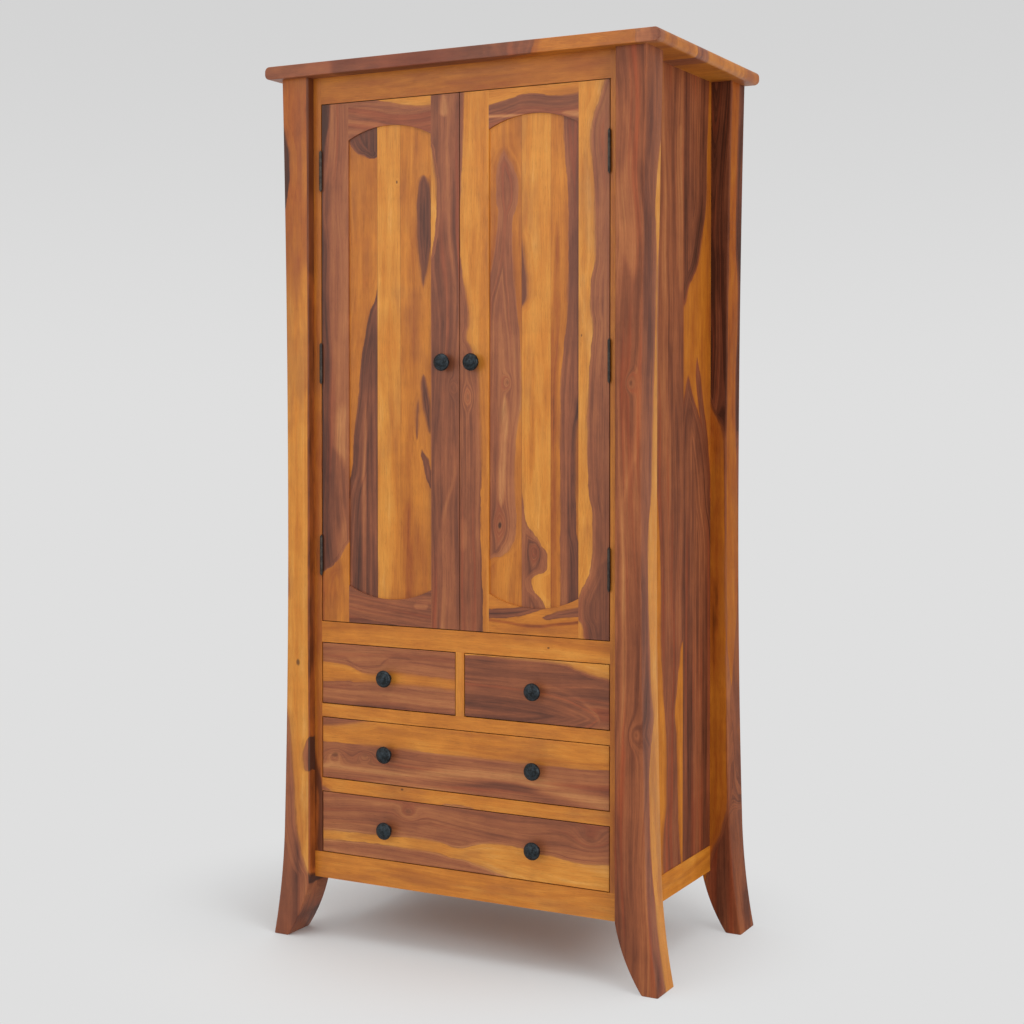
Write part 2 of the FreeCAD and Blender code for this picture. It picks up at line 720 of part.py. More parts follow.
def at_hinge(piece, side, up):
    if side == "right":
        return place(piece, ("Layout.pivot_across", "Layout.pivot_front", up))
    return place(piece, ("-Layout.pivot_across", "Layout.pivot_front", up), turned="Y")


def make_hinges():
    frame_leaves = []
    pins = []
    for side in ("left", "right"):
        door_leaves = []
        for up in hinge_heights:
            frame_leaves.append(at_hinge(make_leaf((0, 2, 4), True), side, up))
            door_leaves.append(at_hinge(make_leaf((1, 3), False), side, up))
            pins.append(at_hinge(make_pin(), side, up))
        keep(group(door_leaves), "door_" + side + "_hinge_leaves")
    keep(group(frame_leaves), "frame_hinge_leaves")
    keep(group(pins), "hinge_pins")


# ---------------------------------------------------------------- drawers
def make_drawer(name, left, width, base, knobs):
    """A drawer: the front is flush in its opening, with a grooved box behind it."""
    front_width = "(%s) - Size.drawer_gap * 2" % width
    front_height = "Size.drawer_opening_height - Size.drawer_gap * 2"
    body = profile_board("DrawerFront", "XZ_Plane",
                         [("0", "0"), (front_width, "0"), (front_width, front_height), ("0", front_height)],
                         "Size.drawer_front_thickness")
    ease(body, body.Tip, "Size.drawer_ease", lambda edge: edge.BoundBox.YMax < 0.001)
    place(body, ("%s + Size.drawer_gap" % left, "Layout.face_front", "%s + Size.drawer_gap" % base))

    box_front = "Layout.drawer_box_front"
    box_left = "(%s + Size.drawer_side_play)" % left
    box_width = "((%s) - Size.drawer_side_play * 2)" % width
    box_base = "(%s + Size.drawer_lift)" % base
    thick = "Size.drawer_side_thickness"
    far_side = "%s + %s - %s" % (box_left, box_width, thick)
    bottom_base = "%s + Size.drawer_bottom_height" % box_base
    inside_width = "%s - %s * 2" % (box_width, thick)
    held = "(Size.drawer_groove_depth - Size.drawer_bottom_float)"

    groove = block(("%s + Size.drawer_groove_depth * 2" % inside_width,
                    "Layout.drawer_side_length + Size.drawer_groove_depth", "Size.drawer_bottom_thickness"),
                   ("%s + %s - Size.drawer_groove_depth" % (box_left, thick),
                    "%s - Size.drawer_groove_depth" % box_front, bottom_base))
    bottom = block(("%s + %s * 2" % (inside_width, held), "Layout.drawer_side_length + %s" % held,
                    "Size.drawer_bottom_thickness"),
                   ("%s + %s - %s" % (box_left, thick, held), "%s - %s" % (box_front, held), bottom_base))
    side_extent = (thick, "Layout.drawer_side_length", "Size.drawer_side_height")
    left_side = cut(block(side_extent, (box_left, box_front, box_base)), groove)
    right_side = cut(block(side_extent, (far_side, box_front, box_base)), groove)
    back_drop = "Size.drawer_bottom_height + Size.drawer_bottom_thickness"
    back = block((inside_width, thick, "Size.drawer_side_height - (%s)" % back_drop),
                 ("%s + %s" % (box_left, thick),
                  "%s + Layout.drawer_side_length - %s" % (box_front, thick),
                  "%s + %s" % (box_base, back_drop)))
    keep(cut(body, groove), name + "_front")
    keep(group([left_side, right_side, back, bottom]), name + "_box")
    knob_up = "%s + Size.drawer_opening_height / 2" % base
    pulls = [make_knob(across, knob_up) for across in knobs]
    keep(pulls[0] if len(pulls) == 1 else group(pulls), name + "_knob" + "s" * (len(pulls) > 1))


def make_drawers():
    small = "Layout.small_opening"
    wide = "Size.opening_width"
    left = "(-Layout.half_opening)"
    right_start = "(Size.divider_width / 2)"
    knob_right = "((Layout.half_opening + Size.divider_width / 2) / 2)"
    knob_left = "-" + knob_right
    make_drawer("drawer_upper_left", left, small, "Layout.row_three", [knob_left])
    make_drawer("drawer_upper_right", right_start, small, "Layout.row_three", [knob_right])
    make_drawer("drawer_middle", left, wide, "Layout.row_two", [knob_left, knob_right])
    make_drawer("drawer_bottom", left, wide, "Layout.row_one", [knob_left, knob_right])


# ---------------------------------------------------------------- build, check, write
make_top_slab()
for leg_side in ("left", "right"):
    make_leg("leg_front_" + leg_side, leg_side, True)
    make_leg("leg_rear_" + leg_side, leg_side, False)
make_face_frame()
make_case()
make_wardrobe_fittings()
make_runners()
for door_side in ("left", "right"):
    make_door(door_side)
make_catch()
make_hinges()
make_drawers()
doc.recompute()

for item in doc.Objects:
    if "Invalid" in item.State or "Error" in item.State:
        raise RuntimeError("%s (%s) failed: %s" % (item.Name, item.Label, item.State))
for item in sub_parts:
    if item.Shape.isNull() or not item.Shape.isValid():
        raise RuntimeError("%s has no valid shape" % item.Label)

os.makedirs("parts", exist_ok=True)
for item in sub_parts:
    item.Shape.exportStep("parts/%s.step" % item.Label)
print(len(sub_parts), "sub-parts written")
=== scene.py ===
import math
import bmesh
import bpy
import numpy as np
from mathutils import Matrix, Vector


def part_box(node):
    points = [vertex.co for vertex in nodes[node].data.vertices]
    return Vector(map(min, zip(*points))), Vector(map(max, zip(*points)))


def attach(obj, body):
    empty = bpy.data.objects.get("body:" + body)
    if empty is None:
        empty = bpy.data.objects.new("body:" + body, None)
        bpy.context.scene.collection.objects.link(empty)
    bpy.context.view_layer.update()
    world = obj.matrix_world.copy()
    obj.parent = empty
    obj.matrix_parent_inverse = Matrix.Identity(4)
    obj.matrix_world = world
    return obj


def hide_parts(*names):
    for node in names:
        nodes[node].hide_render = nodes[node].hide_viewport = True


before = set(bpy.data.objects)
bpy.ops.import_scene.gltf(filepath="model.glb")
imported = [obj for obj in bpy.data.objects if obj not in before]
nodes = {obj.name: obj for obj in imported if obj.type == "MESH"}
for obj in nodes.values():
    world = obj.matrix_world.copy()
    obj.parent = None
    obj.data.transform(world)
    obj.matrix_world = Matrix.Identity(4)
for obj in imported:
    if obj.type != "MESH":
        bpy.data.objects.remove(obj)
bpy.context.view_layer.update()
print("frame loaded with", len(nodes), "nodes")


def paint(colour):
    # six hex digits to linear light with full alpha: p / 12.92 when dark, else ((p + 0.055) / 1.055) ^ 2.4
    parts = [int(colour[i:i + 2], 16) / 255 for i in (0, 2, 4)]
    linear = [p / 12.92 if p <= 0.04045 else ((p + 0.055) / 1.055) ** 2.4 for p in parts]
    return (*linear, 1.0)


def grey(level):
    # one level of grey with full alpha
    return (level, level, level, 1.0)


class Graph:
    # short hand for building one node tree

    def __init__(self, tree):
        self.tree = tree

    def feed(self, socket, value):
        # links a socket, or sets a plain value
        if isinstance(value, bpy.types.NodeSocket):
            self.tree.links.new(value, socket)
        else:
            socket.default_value = value

    def node(self, kind, inputs=None, **settings):
        # a new node with its settings, and its inputs linked or set by name
        made = self.tree.nodes.new(kind)
        for name, value in settings.items():
            setattr(made, name, value)
        for name, value in (inputs or {}).items():
            self.feed(made.inputs[name], value)
        return made

    def group(self, tree, inputs):
        # one of the shared effects, with this material's own values
        return self.node("ShaderNodeGroup", inputs, node_tree=tree).outputs

    def objectPlace(self):
        # where a point is in metres, because every piece sits at the origin
        return self.node("ShaderNodeTexCoord").outputs["Object"]

    def finish(self, kind, shader):
        # the tree's output node, taking the shader as its surface
        self.node(kind, {"Surface": shader.outputs[0]})

    def math(self, operation, first, second=0.0, third=0.0):
        # one sum on up to three values; the short names below stand for the usual ones
        made = self.node("ShaderNodeMath", operation=operation)
        for socket, value in zip(made.inputs, (first, second, third)):
            self.feed(socket, value)
        return made.outputs[0]

    def add(self, first, second):
        return self.math("ADD", first, second)

    def less(self, first, second):
        return self.math("SUBTRACT", first, second)

    def times(self, first, second):
        return self.math("MULTIPLY", first, second)

    def most(self, first, second):
        return self.math("MAXIMUM", first, second)

    def apart(self, first, second):
        # the distance between two values
        return self.math("ABSOLUTE", self.less(first, second))

    def timesAdd(self, first, second, third):
        # first times second, plus third
        return self.math("MULTIPLY_ADD", first, second, third)

    def swing(self, noise, amount, base=0.0):
        # base plus amount times how far the noise is from its middle
        return self.timesAdd(self.less(noise, 0.5), amount, base)

    def scaled(self, vector, factors, offset=(0.0, 0.0, 0.0)):
        # vector times factors plus offset, axis by axis
        made = self.node("ShaderNodeVectorMath", operation="MULTIPLY_ADD")
        for socket, value in zip(made.inputs, (vector, factors, offset)):
            self.feed(socket, value)
        return made.outputs[0]

    def split(self, vector):
        return self.node("ShaderNodeSeparateXYZ", {"Vector": vector}).outputs

    def join(self, x, y, z):
        return self.node("ShaderNodeCombineXYZ", {"X": x, "Y": y, "Z": z}).outputs[0]

    def noise(self, vector, scale=1.0, detail=2.0, roughness=0.5):
        made = self.node("ShaderNodeTexNoise", {"Vector": vector, "Scale": scale, "Detail": detail,
                                                "Roughness": roughness})
        return made.outputs["Fac"]

    def grain(self, vector, spec, shift=None):
        # noise on a vector stretched by the spec's first entry and moved by its second
        stretch, moved, detail, roughness = spec
        placed = self.scaled(vector, stretch, moved if shift is None else shift)
        return self.noise(placed, detail=detail, roughness=roughness)

    def ease(self, value, low, high, start=0.0, end=1.0):
        # a smooth step from start to end as value goes from low to high
        made = self.node("ShaderNodeMapRange", {"Value": value, "From Min": low, "From Max": high,
                                                "To Min": start, "To Max": end},
                         interpolation_type="SMOOTHSTEP")
        return made.outputs["Result"]

    def mix(self, kind, firstInput, factor, first, second, **settings):
        # the Mix node of one data type, whose two inputs follow each other from firstInput
        made = self.node("ShaderNodeMix", data_type=kind, **settings)
        for place, value in ((0, factor), (firstInput, first), (firstInput + 1, second)):
            self.feed(made.inputs[place], value)
        return made.outputs

    def mixValue(self, factor, first, second):
        return self.mix("FLOAT", 2, factor, first, second)[0]

    def mixVector(self, factor, first, second):
        return self.mix("VECTOR", 4, factor, first, second)[1]

    def mixColour(self, factor, first, second, blend="MIX"):
        # first where factor is 0, second where it is 1
        return self.mix("RGBA", 6, factor, first, second, blend_type=blend)[2]

    def ramp(self, value, stops):
        # a colour ramp with stops of (place, hex colour)
        made = self.node("ShaderNodeValToRGB", {"Fac": value})
        elements = made.color_ramp.elements
        while len(elements) < len(stops):
            elements.new(0.5)
        for element, (place, colour) in zip(elements, stops):
            element.position = place
            element.color = paint(colour)
        return made.outputs["Color"]


def newGroup(name, takes, gives):
    # a shader node group with named sockets; takes and gives are {name: default}
    tree = bpy.data.node_groups.new(name, "ShaderNodeTree")
    kinds = {float: "NodeSocketFloat", tuple: "NodeSocketVector", str: "NodeSocketColor"}
    for side, sockets in (("INPUT", takes), ("OUTPUT", gives)):
        for label, default in sockets.items():
            made = tree.interface.new_socket(name=label, in_out=side, socket_type=kinds[type(default)])
            if side == "INPUT":
                made.default_value = paint(default) if isinstance(default, str) else default
    graph = Graph(tree)
    return graph, graph.node("NodeGroupInput").outputs, graph.node("NodeGroupOutput").inputs


def emptyMaterial(name):
    # a material with a clear node tree, and the short hand for it
    material = bpy.data.materials.new(name)
    material.use_nodes = True
    material.node_tree.nodes.clear()
    return material, Graph(material.node_tree)


def addToScene(name, data):
    # a new object at the origin that shows the data
    thing = bpy.data.objects.new(name, data)
    bpy.context.scene.collection.objects.link(thing)
    return thing


cameraSetup = {
    "place": (1.9669, -3.7389, 1.2910),
    "turn": 27.815,         # degrees round the vertical
    "dip": 1.142,           # degrees below level
    "lens": 61.91,
    "sensor": 36,
    "shiftUp": -0.0801,
}


def placeCamera():
    # level is 90 degrees from looking straight down, so the tilt is 90 less the dip
    data = bpy.data.cameras.new("studioCamera")
    data.lens = cameraSetup["lens"]
    data.sensor_width = cameraSetup["sensor"]
    data.shift_y = cameraSetup["shiftUp"]
    camera = addToScene("studioCamera", data)
    camera.location = cameraSetup["place"]
    tilt = 90 - cameraSetup["dip"]
    camera.rotation_euler = (math.radians(tilt), 0, math.radians(cameraSetup["turn"]))
    bpy.context.scene.camera = camera


lamps = [   # name, place, aim, width, height, watts
    ("frontLamp", (-1.6, -4.6, 2.7), (0.0, 0.0, 1.0), 3.2, 2.6, 40),
    ("overLamp", (0.2, -1.0, 4.6), (0.0, 0.0, 1.0), 3.6, 2.4, 46),
    ("sideLamp", (4.6, -2.4, 1.7), (0.3, 0.0, 0.7), 2.4, 2.6, 86),
]


def placeLamps():
    # each lamp leans back by atan2(level run, fall) and turns to face its aim
    for name, place, aim, width, height, watts in lamps:
        data = bpy.data.lights.new(name, "AREA")
        data.shape = "RECTANGLE"
        data.size = width
        data.size_y = height
        data.energy = watts
        lamp = addToScene(name, data)
        lamp.location = place
        way = np.subtract(aim, place)
        level = math.hypot(way[0], way[1])
        lamp.rotation_euler = (math.atan2(level, -way[2]), 0, math.atan2(way[1], way[0]) - math.pi / 2)


roomSetup = {
    "backdrop": 0.738,              # grey behind the armoire, level with it
    "backdropHigh": 0.655,          # the same grey, higher up
    "backdropRise": (-0.02, 0.24),  # from which rise to which the one becomes the other
    "ambient": 0.75,                # grey light from all round
    "dimWay": (0.467, 0.884, 0.0),  # the way in which the room is dimmer
    "dimmer": 0.50,                 # grey light from that way
    "dimEdge": (0.42, 0.86),        # how far towards that way the light starts and ends falling
}


def lightRoom():
    # a backdrop for direct sight, and for light a grey that falls as the way nears dimWay (their dot product)
    world = bpy.data.worlds.new("studioRoom")
    bpy.context.scene.world = world
    world.use_nodes = True
    world.node_tree.nodes.clear()
    graph = Graph(world.node_tree)
    seen = graph.node("ShaderNodeLightPath").outputs["Is Camera Ray"]
    way = graph.node("ShaderNodeTexCoord").outputs["Generated"]
    wall = graph.mixColour(graph.ease(graph.split(way)[2], *roomSetup["backdropRise"]),
                           grey(roomSetup["backdrop"]), grey(roomSetup["backdropHigh"]))
    along = graph.node("ShaderNodeVectorMath", {0: way, 1: roomSetup["dimWay"]}, operation="DOT_PRODUCT")
    room = graph.mixColour(graph.ease(along.outputs["Value"], *roomSetup["dimEdge"]),
                           grey(roomSetup["ambient"]), grey(roomSetup["dimmer"]))
    background = graph.node("ShaderNodeBackground", {"Color": graph.mixColour(seen, room, wall)})
    graph.finish("ShaderNodeOutputWorld", background)
    bpy.context.scene.view_settings.view_transform = "Standard"


floorSetup = {
    "tone": (0.755, 0.775, 0.780),
    "radius": 30,
    "sides": 96,
    "roughness": 0.8,
    "specular": 0.1,
    "shift": (0.17, 0.02, 0.0),     # added to a floor point before its distance is taken, so the glow comes in sooner on the right
    "fade": (0.32, 1.0),            # metres over which the floor fades into a glowing backdrop grey, painted light that takes no shadow
}


def layFloor():
    # a wide pale disc of points (r cos t, r sin t), whose tone fades with distance into an emission of the
    # backdrop grey; this glow takes no shadow, so near the armoire it paints light over the floor's shadow
    turns = np.linspace(0, 2 * np.pi, floorSetup["sides"] + 1)[:-1]
    ring = floorSetup["radius"] * np.stack([np.cos(turns), np.sin(turns), np.zeros(len(turns))], axis=1)
    mesh = bpy.data.meshes.new("studioFloor")
    mesh.from_pydata(ring.tolist(), [], [list(range(len(turns)))])
    material, graph = emptyMaterial("paleFloor")
    place = graph.scaled(graph.objectPlace(), (1.0, 1.0, 1.0), floorSetup["shift"])
    far = graph.node("ShaderNodeVectorMath", {0: place}, operation="LENGTH").outputs["Value"]
    fade = graph.ease(far, *floorSetup["fade"])
    near = graph.node("ShaderNodeBsdfPrincipled", {
        "Base Color": (*floorSetup["tone"], 1), "Roughness": floorSetup["roughness"],
        "Specular IOR Level": floorSetup["specular"]})
    # painted light: the emission takes no shadow, so it lightens the armoire's shadow on the floor
    shadowlessGlow = graph.node("ShaderNodeEmission", {"Color": grey(roomSetup["backdrop"])})
    both = graph.node("ShaderNodeMixShader", {0: fade, 1: near.outputs[0], 2: shadowlessGlow.outputs[0]})
    graph.finish("ShaderNodeOutputMaterial", both)
    mesh.materials.append(material)
    addToScene("studioFloor", mesh)


placeCamera()
placeLamps()
lightRoom()
layFloor()
print("camera, lamps and floor placed")


timber = {
    "heart": [(0.16, "47271B"), (0.34, "6C3B27"), (0.52, "8C4F31"), (0.70, "A2623A"), (0.88, "B67A48")],
    # the lowest sap stop is reached under the strongest dark bands, which on the legs and the left stile are
    # painted shade
    "sap": [(0.0, "5A2A10"), (0.18, "984E1A"), (0.38, "AE651F"), (0.55, "C17626"), (0.75, "CD8834"),
            (0.90, "D89C50")],
    "red": "9A4424",
    "brown": "8A4A26",
    "knot": "2B1510",
    "vein": "3C1D13",
}

still = (0.0, 0.0, 0.0)
grains = {  # stretch along, across and deep; shift; detail; roughness
    "slowSway": ((2.1, 7.0, 7.0), still, 1.5, 0.5),
    "quickSway": ((11.0, 30.0, 30.0), still, 2.0, 0.5),
    "roam": ((0.9, 11.0, 11.0), still, 1.0, 0.5),
    "fineEdge": ((25.0, 420.0, 420.0), still, 2.0, 0.5),
    "wobble": ((24.0, 62.0, 62.0), (4.0, 1.0, 8.0), 3.0, 0.6),
    "cloud": ((7.5, 30.0, 30.0), (9.0, 2.0, 6.0), 4.0, 0.62),
    "blur": ((6.0, 12.0, 12.0), (2.0, 8.0, 3.0), 1.0, 0.5),
    "haze": ((3.2, 16.0, 16.0), (1.0, 7.0, 4.0), 3.0, 0.6),
    "fibre": ((14.0, 620.0, 620.0), still, 3.0, 0.6),
    "pore": ((60.0, 1500.0, 1500.0), (2.0, 5.0, 9.0), 1.0, 0.5),
    "ripple": ((34.0, 9.0, 9.0), still, 1.0, 0.5),
    # the last four lie on the flow, so they run along the figure
    "broad": ((1.0, 0.9, 1.0), still, 2.0, 0.5),
    "streak": ((1.6, 4.6, 1.0), still, 4.0, 0.62),
    "redPatch": ((1.1, 1.7, 1.0), (3.0, 11.0, 5.0), 2.0, 0.5),
    "veinLine": ((0.8, 3.1, 1.0), (7.0, 3.0, 1.0), 1.0, 0.5),
}
spaceLook = {
    "seedAlong": 3.7, "seedDeep": 1.9,          # how far a seed moves the sway noise
    "slow": 3.0, "quick": 0.8,                  # times Sway: how far the across value moves
    "stretch": 0.02,                            # how far the along value moves, in metres
    "flowSlow": 1.6, "flowAcross": 22.0, "flowDeep": 9.0,   # how fast the flow grows with each
    "bandFlow": 24.0,                           # the flow's growth inside a band
    "bandBlend": (-0.002, 0.004),               # metres over which a band takes the flow over
}
knotLook = {
    "shorten": 0.62,                            # a knot is longer along the grain
    "core": (0.45, 1.15),                       # the core is full at the first d and gone at the second
    "bell": -0.14, "bulge": 0.8,                # the flow moves by bulge times e to the (bell times d squared)
}
woodLook = {
    "fineEdge": 0.0042, "wobble": 0.0075,       # how far the noises move the heart's edge, in metres
    "edgeBlur": (0.40, 0.66), "edgeSoft": (0.0011, 0.0062),     # crisp and soft edge, in metres
    "seed": 5.3, "flowAlong": 1.3, "flowDeep": 8.0,             # the stretch of the point on the flow
    "streak": 0.66, "broad": 0.60,              # contrast of the fine and of the broad figure
    "edgeGlow": 0.011, "glow": 0.10,            # heart is lighter for this far inside its edge
    "heartCloud": 0.42, "sapCloud": 0.62,       # contrast of the mottling
    "red": (0.54, 0.70),                        # noise from which to which red patches come in
    "sapFigure": 0.62,                          # the sap's share of the heart's figure
    "stainReach": (-0.022, -0.001), "stain": 0.30, "stainBlur": (0.38, 0.60),   # brown beside the heart
    "haze": (0.50, 0.70), "hazeMost": 0.46,     # brown patches further off
    "line": (0.004, 0.022), "lineHeart": 0.14, "lineSap": 0.03,     # thin veins: width, and darkness
    "rimAt": 0.0009, "rim": (0.0002, 0.0018), "rimBlur": (0.40, 0.62), "rimDark": (0.03, 0.24),
    "core": 0.9,                                # a knot's core takes this much of the knot's colour
    "pores": (0.60, 0.70),                      # noise from which to which a pore deepens
    "fibreLift": 0.42, "rippleLift": 0.16, "poreLift": -0.22,   # what each adds to the lightness
    "roughness": 0.38, "fibreRough": 0.16, "poreRough": 0.12, "poreDepth": -0.6,
}


def makePlankSpace():
    # board space: the across value sways with slow and quick noise along the grain, the field starts
    # at Base plus noise times Roam, and the flow counts across the figure
    graph, takes, gives = newGroup(
        "plankSpace",
        {"Vector": still, "Seed": 0.0, "Sway": 0.004, "Base": 0.008, "Roam": 0.004},
        {"Vector": still, "Field": 0.0, "Flow": 0.0},
    )
    vector, seed = takes["Vector"], takes["Seed"]
    shift = graph.join(graph.times(seed, spaceLook["seedAlong"]), seed,
                       graph.times(seed, spaceLook["seedDeep"]))
    slow = graph.grain(vector, grains["slowSway"], shift)
    quick = graph.grain(vector, grains["quickSway"], shift)
    roam = graph.grain(vector, grains["roam"], shift)
    along, across, deep = graph.split(vector)
    slowMove = graph.swing(slow, graph.times(takes["Sway"], spaceLook["slow"]))
    quickMove = graph.swing(quick, graph.times(takes["Sway"], spaceLook["quick"]))
    swayed = graph.add(across, graph.add(slowMove, quickMove))
    stretched = graph.add(along, graph.swing(quick, spaceLook["stretch"]))
    graph.feed(gives["Vector"], graph.join(stretched, swayed, deep))
    graph.feed(gives["Field"], graph.swing(roam, takes["Roam"], takes["Base"]))
    flow = graph.swing(slow, spaceLook["flowSlow"], graph.times(swayed, spaceLook["flowAcross"]))
    graph.feed(gives["Flow"], graph.timesAdd(deep, spaceLook["flowDeep"], flow))
    return graph.tree


def makeHeartBand():
    # a band of heartwood, or of sapwood where Turn is -1: f = half width - distance from the centre line,
    # the field takes f where it is the stronger, and the figure then runs parallel to the band's edge
    graph, takes, gives = newGroup(
        "heartBand",
        {"Across": 0.0, "Field": 0.0, "Flow": 0.0, "Centre": 0.0, "Half": 0.0, "Turn": 1.0},
        {"Field": 0.0, "Flow": 0.0},
    )
    inside = graph.less(takes["Half"], graph.apart(takes["Across"], takes["Centre"]))
    signed = graph.times(inside, takes["Turn"])
    lead = graph.times(graph.less(signed, takes["Field"]), takes["Turn"])
    pick = graph.math("GREATER_THAN", lead, 0.0)
    graph.feed(gives["Field"], graph.mixValue(pick, takes["Field"], signed))
    soft = graph.ease(lead, *spaceLook["bandBlend"])
    graph.feed(gives["Flow"], graph.mixValue(soft, takes["Flow"], graph.times(inside, spaceLook["bandFlow"])))
    return graph.tree


def makeShadeBand():
    # adds Amount to the shade inside a band, fading over Soft metres at its edge
    graph, takes, gives = newGroup(
        "shadeBand",
        {"Across": 0.0, "Shade": 0.0, "Centre": 0.0, "Half": 0.0, "Amount": 0.3, "Soft": 0.004},
        {"Shade": 0.0},
    )
    inside = graph.less(takes["Half"], graph.apart(takes["Across"], takes["Centre"]))
    cover = graph.ease(graph.math("DIVIDE", inside, takes["Soft"]), -1.0, 1.0)
    graph.feed(gives["Shade"], graph.timesAdd(cover, takes["Amount"], takes["Shade"]))
    return graph.tree


def makeKnot():
    # a knot: d is the distance from its centre over its radius, shortened along the grain; the core
    # darkens inside d = 1, and the figure bulges round it with a bell curve of d
    graph, takes, gives = newGroup(
        "knot",
        {"Vector": still, "Flow": 0.0, "Core": 0.0, "Along": 0.0, "Across": 0.0, "Radius": 0.005,
         "Depth": 1.0},
        {"Flow": 0.0, "Core": 0.0},
    )
    along, across, _ = graph.split(takes["Vector"])
    first = graph.times(graph.less(along, takes["Along"]), knotLook["shorten"])
    second = graph.less(across, takes["Across"])
    length = graph.math("SQRT", graph.timesAdd(first, first, graph.times(second, second)))
    ratio = graph.math("DIVIDE", length, takes["Radius"])
    core = graph.times(graph.ease(ratio, *knotLook["core"], 1.0, 0.0), takes["Depth"])
    bell = graph.math("POWER", 2.718, graph.times(graph.times(ratio, ratio), knotLook["bell"]))
    graph.feed(gives["Core"], graph.most(takes["Core"], core))
    graph.feed(gives["Flow"], graph.timesAdd(bell, knotLook["bulge"], takes["Flow"]))
    return graph.tree


def makeRosewood():
    # heart and sap are two ramps over noise drawn out along the flow; the field picks between them,
    # dark veins follow the flow and the field's edge, and fibre and pores are fine noise along the grain
    graph, takes, gives = newGroup(
        "rosewood",
        {"Vector": still, "Field": 0.0, "Flow": 0.0, "Core": 0.0, "Shade": 0.0, "Heart Tone": 0.5,
         "Sap Tone": 0.5, "Figure": 1.0, "Red": 0.35, "Seed": 0.0},
        {"Color": "FFFFFF", "Roughness": 0.4, "Height": 0.0},
    )
    vector, field, look = takes["Vector"], takes["Field"], woodLook
    along, _, deep = graph.split(vector)
    flowPoint = graph.join(graph.timesAdd(along, look["flowAlong"], graph.times(takes["Seed"], look["seed"])),
                           takes["Flow"], graph.times(deep, look["flowDeep"]))
    blur = graph.grain(vector, grains["blur"])
    broad = graph.grain(flowPoint, grains["broad"])
    clouds = graph.less(graph.grain(vector, grains["cloud"]), 0.5)

    # where heart ends and sap begins
    edge = graph.swing(graph.grain(vector, grains["fineEdge"]), look["fineEdge"], field)
    edge = graph.swing(graph.grain(vector, grains["wobble"]), look["wobble"], edge)
    soft = graph.ease(blur, *look["edgeBlur"], *look["edgeSoft"])
    heartMask = graph.ease(edge, graph.times(soft, -1.0), soft)

    # heart: streaks and drift, lighter near its edge, with red patches
    streak = graph.grain(flowPoint, grains["streak"])
    figure = graph.swing(streak, graph.times(takes["Figure"], look["streak"]), 0.5)
    figure = graph.add(figure, graph.swing(broad, look["broad"]))
    shaded = graph.less(figure, takes["Shade"])
    glow = graph.ease(field, 0.0, look["edgeGlow"], look["glow"], 0.0)
    toned = graph.add(graph.add(shaded, glow), graph.less(0.5, takes["Heart Tone"]))
    heart = graph.ramp(graph.timesAdd(clouds, look["heartCloud"], toned), timber["heart"])
    redness = graph.ease(graph.grain(flowPoint, grains["redPatch"]), *look["red"])
    heart = graph.mixColour(graph.times(redness, takes["Red"]), heart, paint(timber["red"]))

    # sap: a calmer figure, stained brown beside the heart and in hazy patches
    calm = graph.swing(shaded, look["sapFigure"], graph.less(1.0, takes["Sap Tone"]))
    sap = graph.ramp(graph.timesAdd(clouds, look["sapCloud"], calm), timber["sap"])
    stain = graph.times(graph.ease(field, *look["stainReach"]), look["stain"])
    stain = graph.times(stain, graph.ease(blur, *look["stainBlur"]))
    haze = graph.ease(graph.grain(vector, grains["haze"]), *look["haze"], 0.0, look["hazeMost"])
    sap = graph.mixColour(graph.most(stain, haze), sap, paint(timber["brown"]))

    # thin veins, a dark rim at the heart's edge, and the knots' cores
    line = graph.ease(graph.apart(graph.grain(flowPoint, grains["veinLine"]), 0.5), *look["line"], 1.0, 0.0)
    line = graph.times(line, graph.timesAdd(heartMask, look["lineHeart"], look["lineSap"]))
    rim = graph.ease(graph.apart(edge, look["rimAt"]), *look["rim"], 1.0, 0.0)
    rim = graph.times(rim, graph.ease(broad, *look["rimBlur"], *look["rimDark"]))
    colour = graph.mixColour(heartMask, sap, heart)
    colour = graph.mixColour(graph.most(line, rim), colour, paint(timber["vein"]))
    colour = graph.mixColour(graph.times(takes["Core"], look["core"]), colour, paint(timber["knot"]))

    # fibre, ripple and pores lighten and darken the whole
    fibre = graph.grain(vector, grains["fibre"])
    pores = graph.ease(graph.grain(vector, grains["pore"]), *look["pores"])
    lift = graph.swing(fibre, look["fibreLift"], 1.0)
    lift = graph.swing(graph.grain(vector, grains["ripple"]), look["rippleLift"], lift)
    lift = graph.timesAdd(pores, look["poreLift"], lift)
    graph.feed(gives["Color"], graph.mixColour(1.0, colour, graph.join(lift, lift, lift), "MULTIPLY"))
    rough = graph.timesAdd(fibre, look["fibreRough"], look["roughness"])
    graph.feed(gives["Roughness"], graph.timesAdd(pores, look["poreRough"], rough))
    graph.feed(gives["Height"], graph.timesAdd(pores, look["poreDepth"], fibre))
    return graph.tree


plankSpace = makePlankSpace()
heartBand = makeHeartBand()
shadeBand = makeShadeBand()
knotGroup = makeKnot()
rosewood = makeRosewood()
print("wood effects made")


# A lay says how the grain runs, by the turn in degrees that makes the board's axes along, across, deep.
# A plank is {"upTo": where it ends across, "base", tones, "bands", "knots"}, in millimetres.
# A band is (kind, rows, more); a row is (along, low, high), and low >= high closes the band there.
# A knot is (along, across, radius, depth).

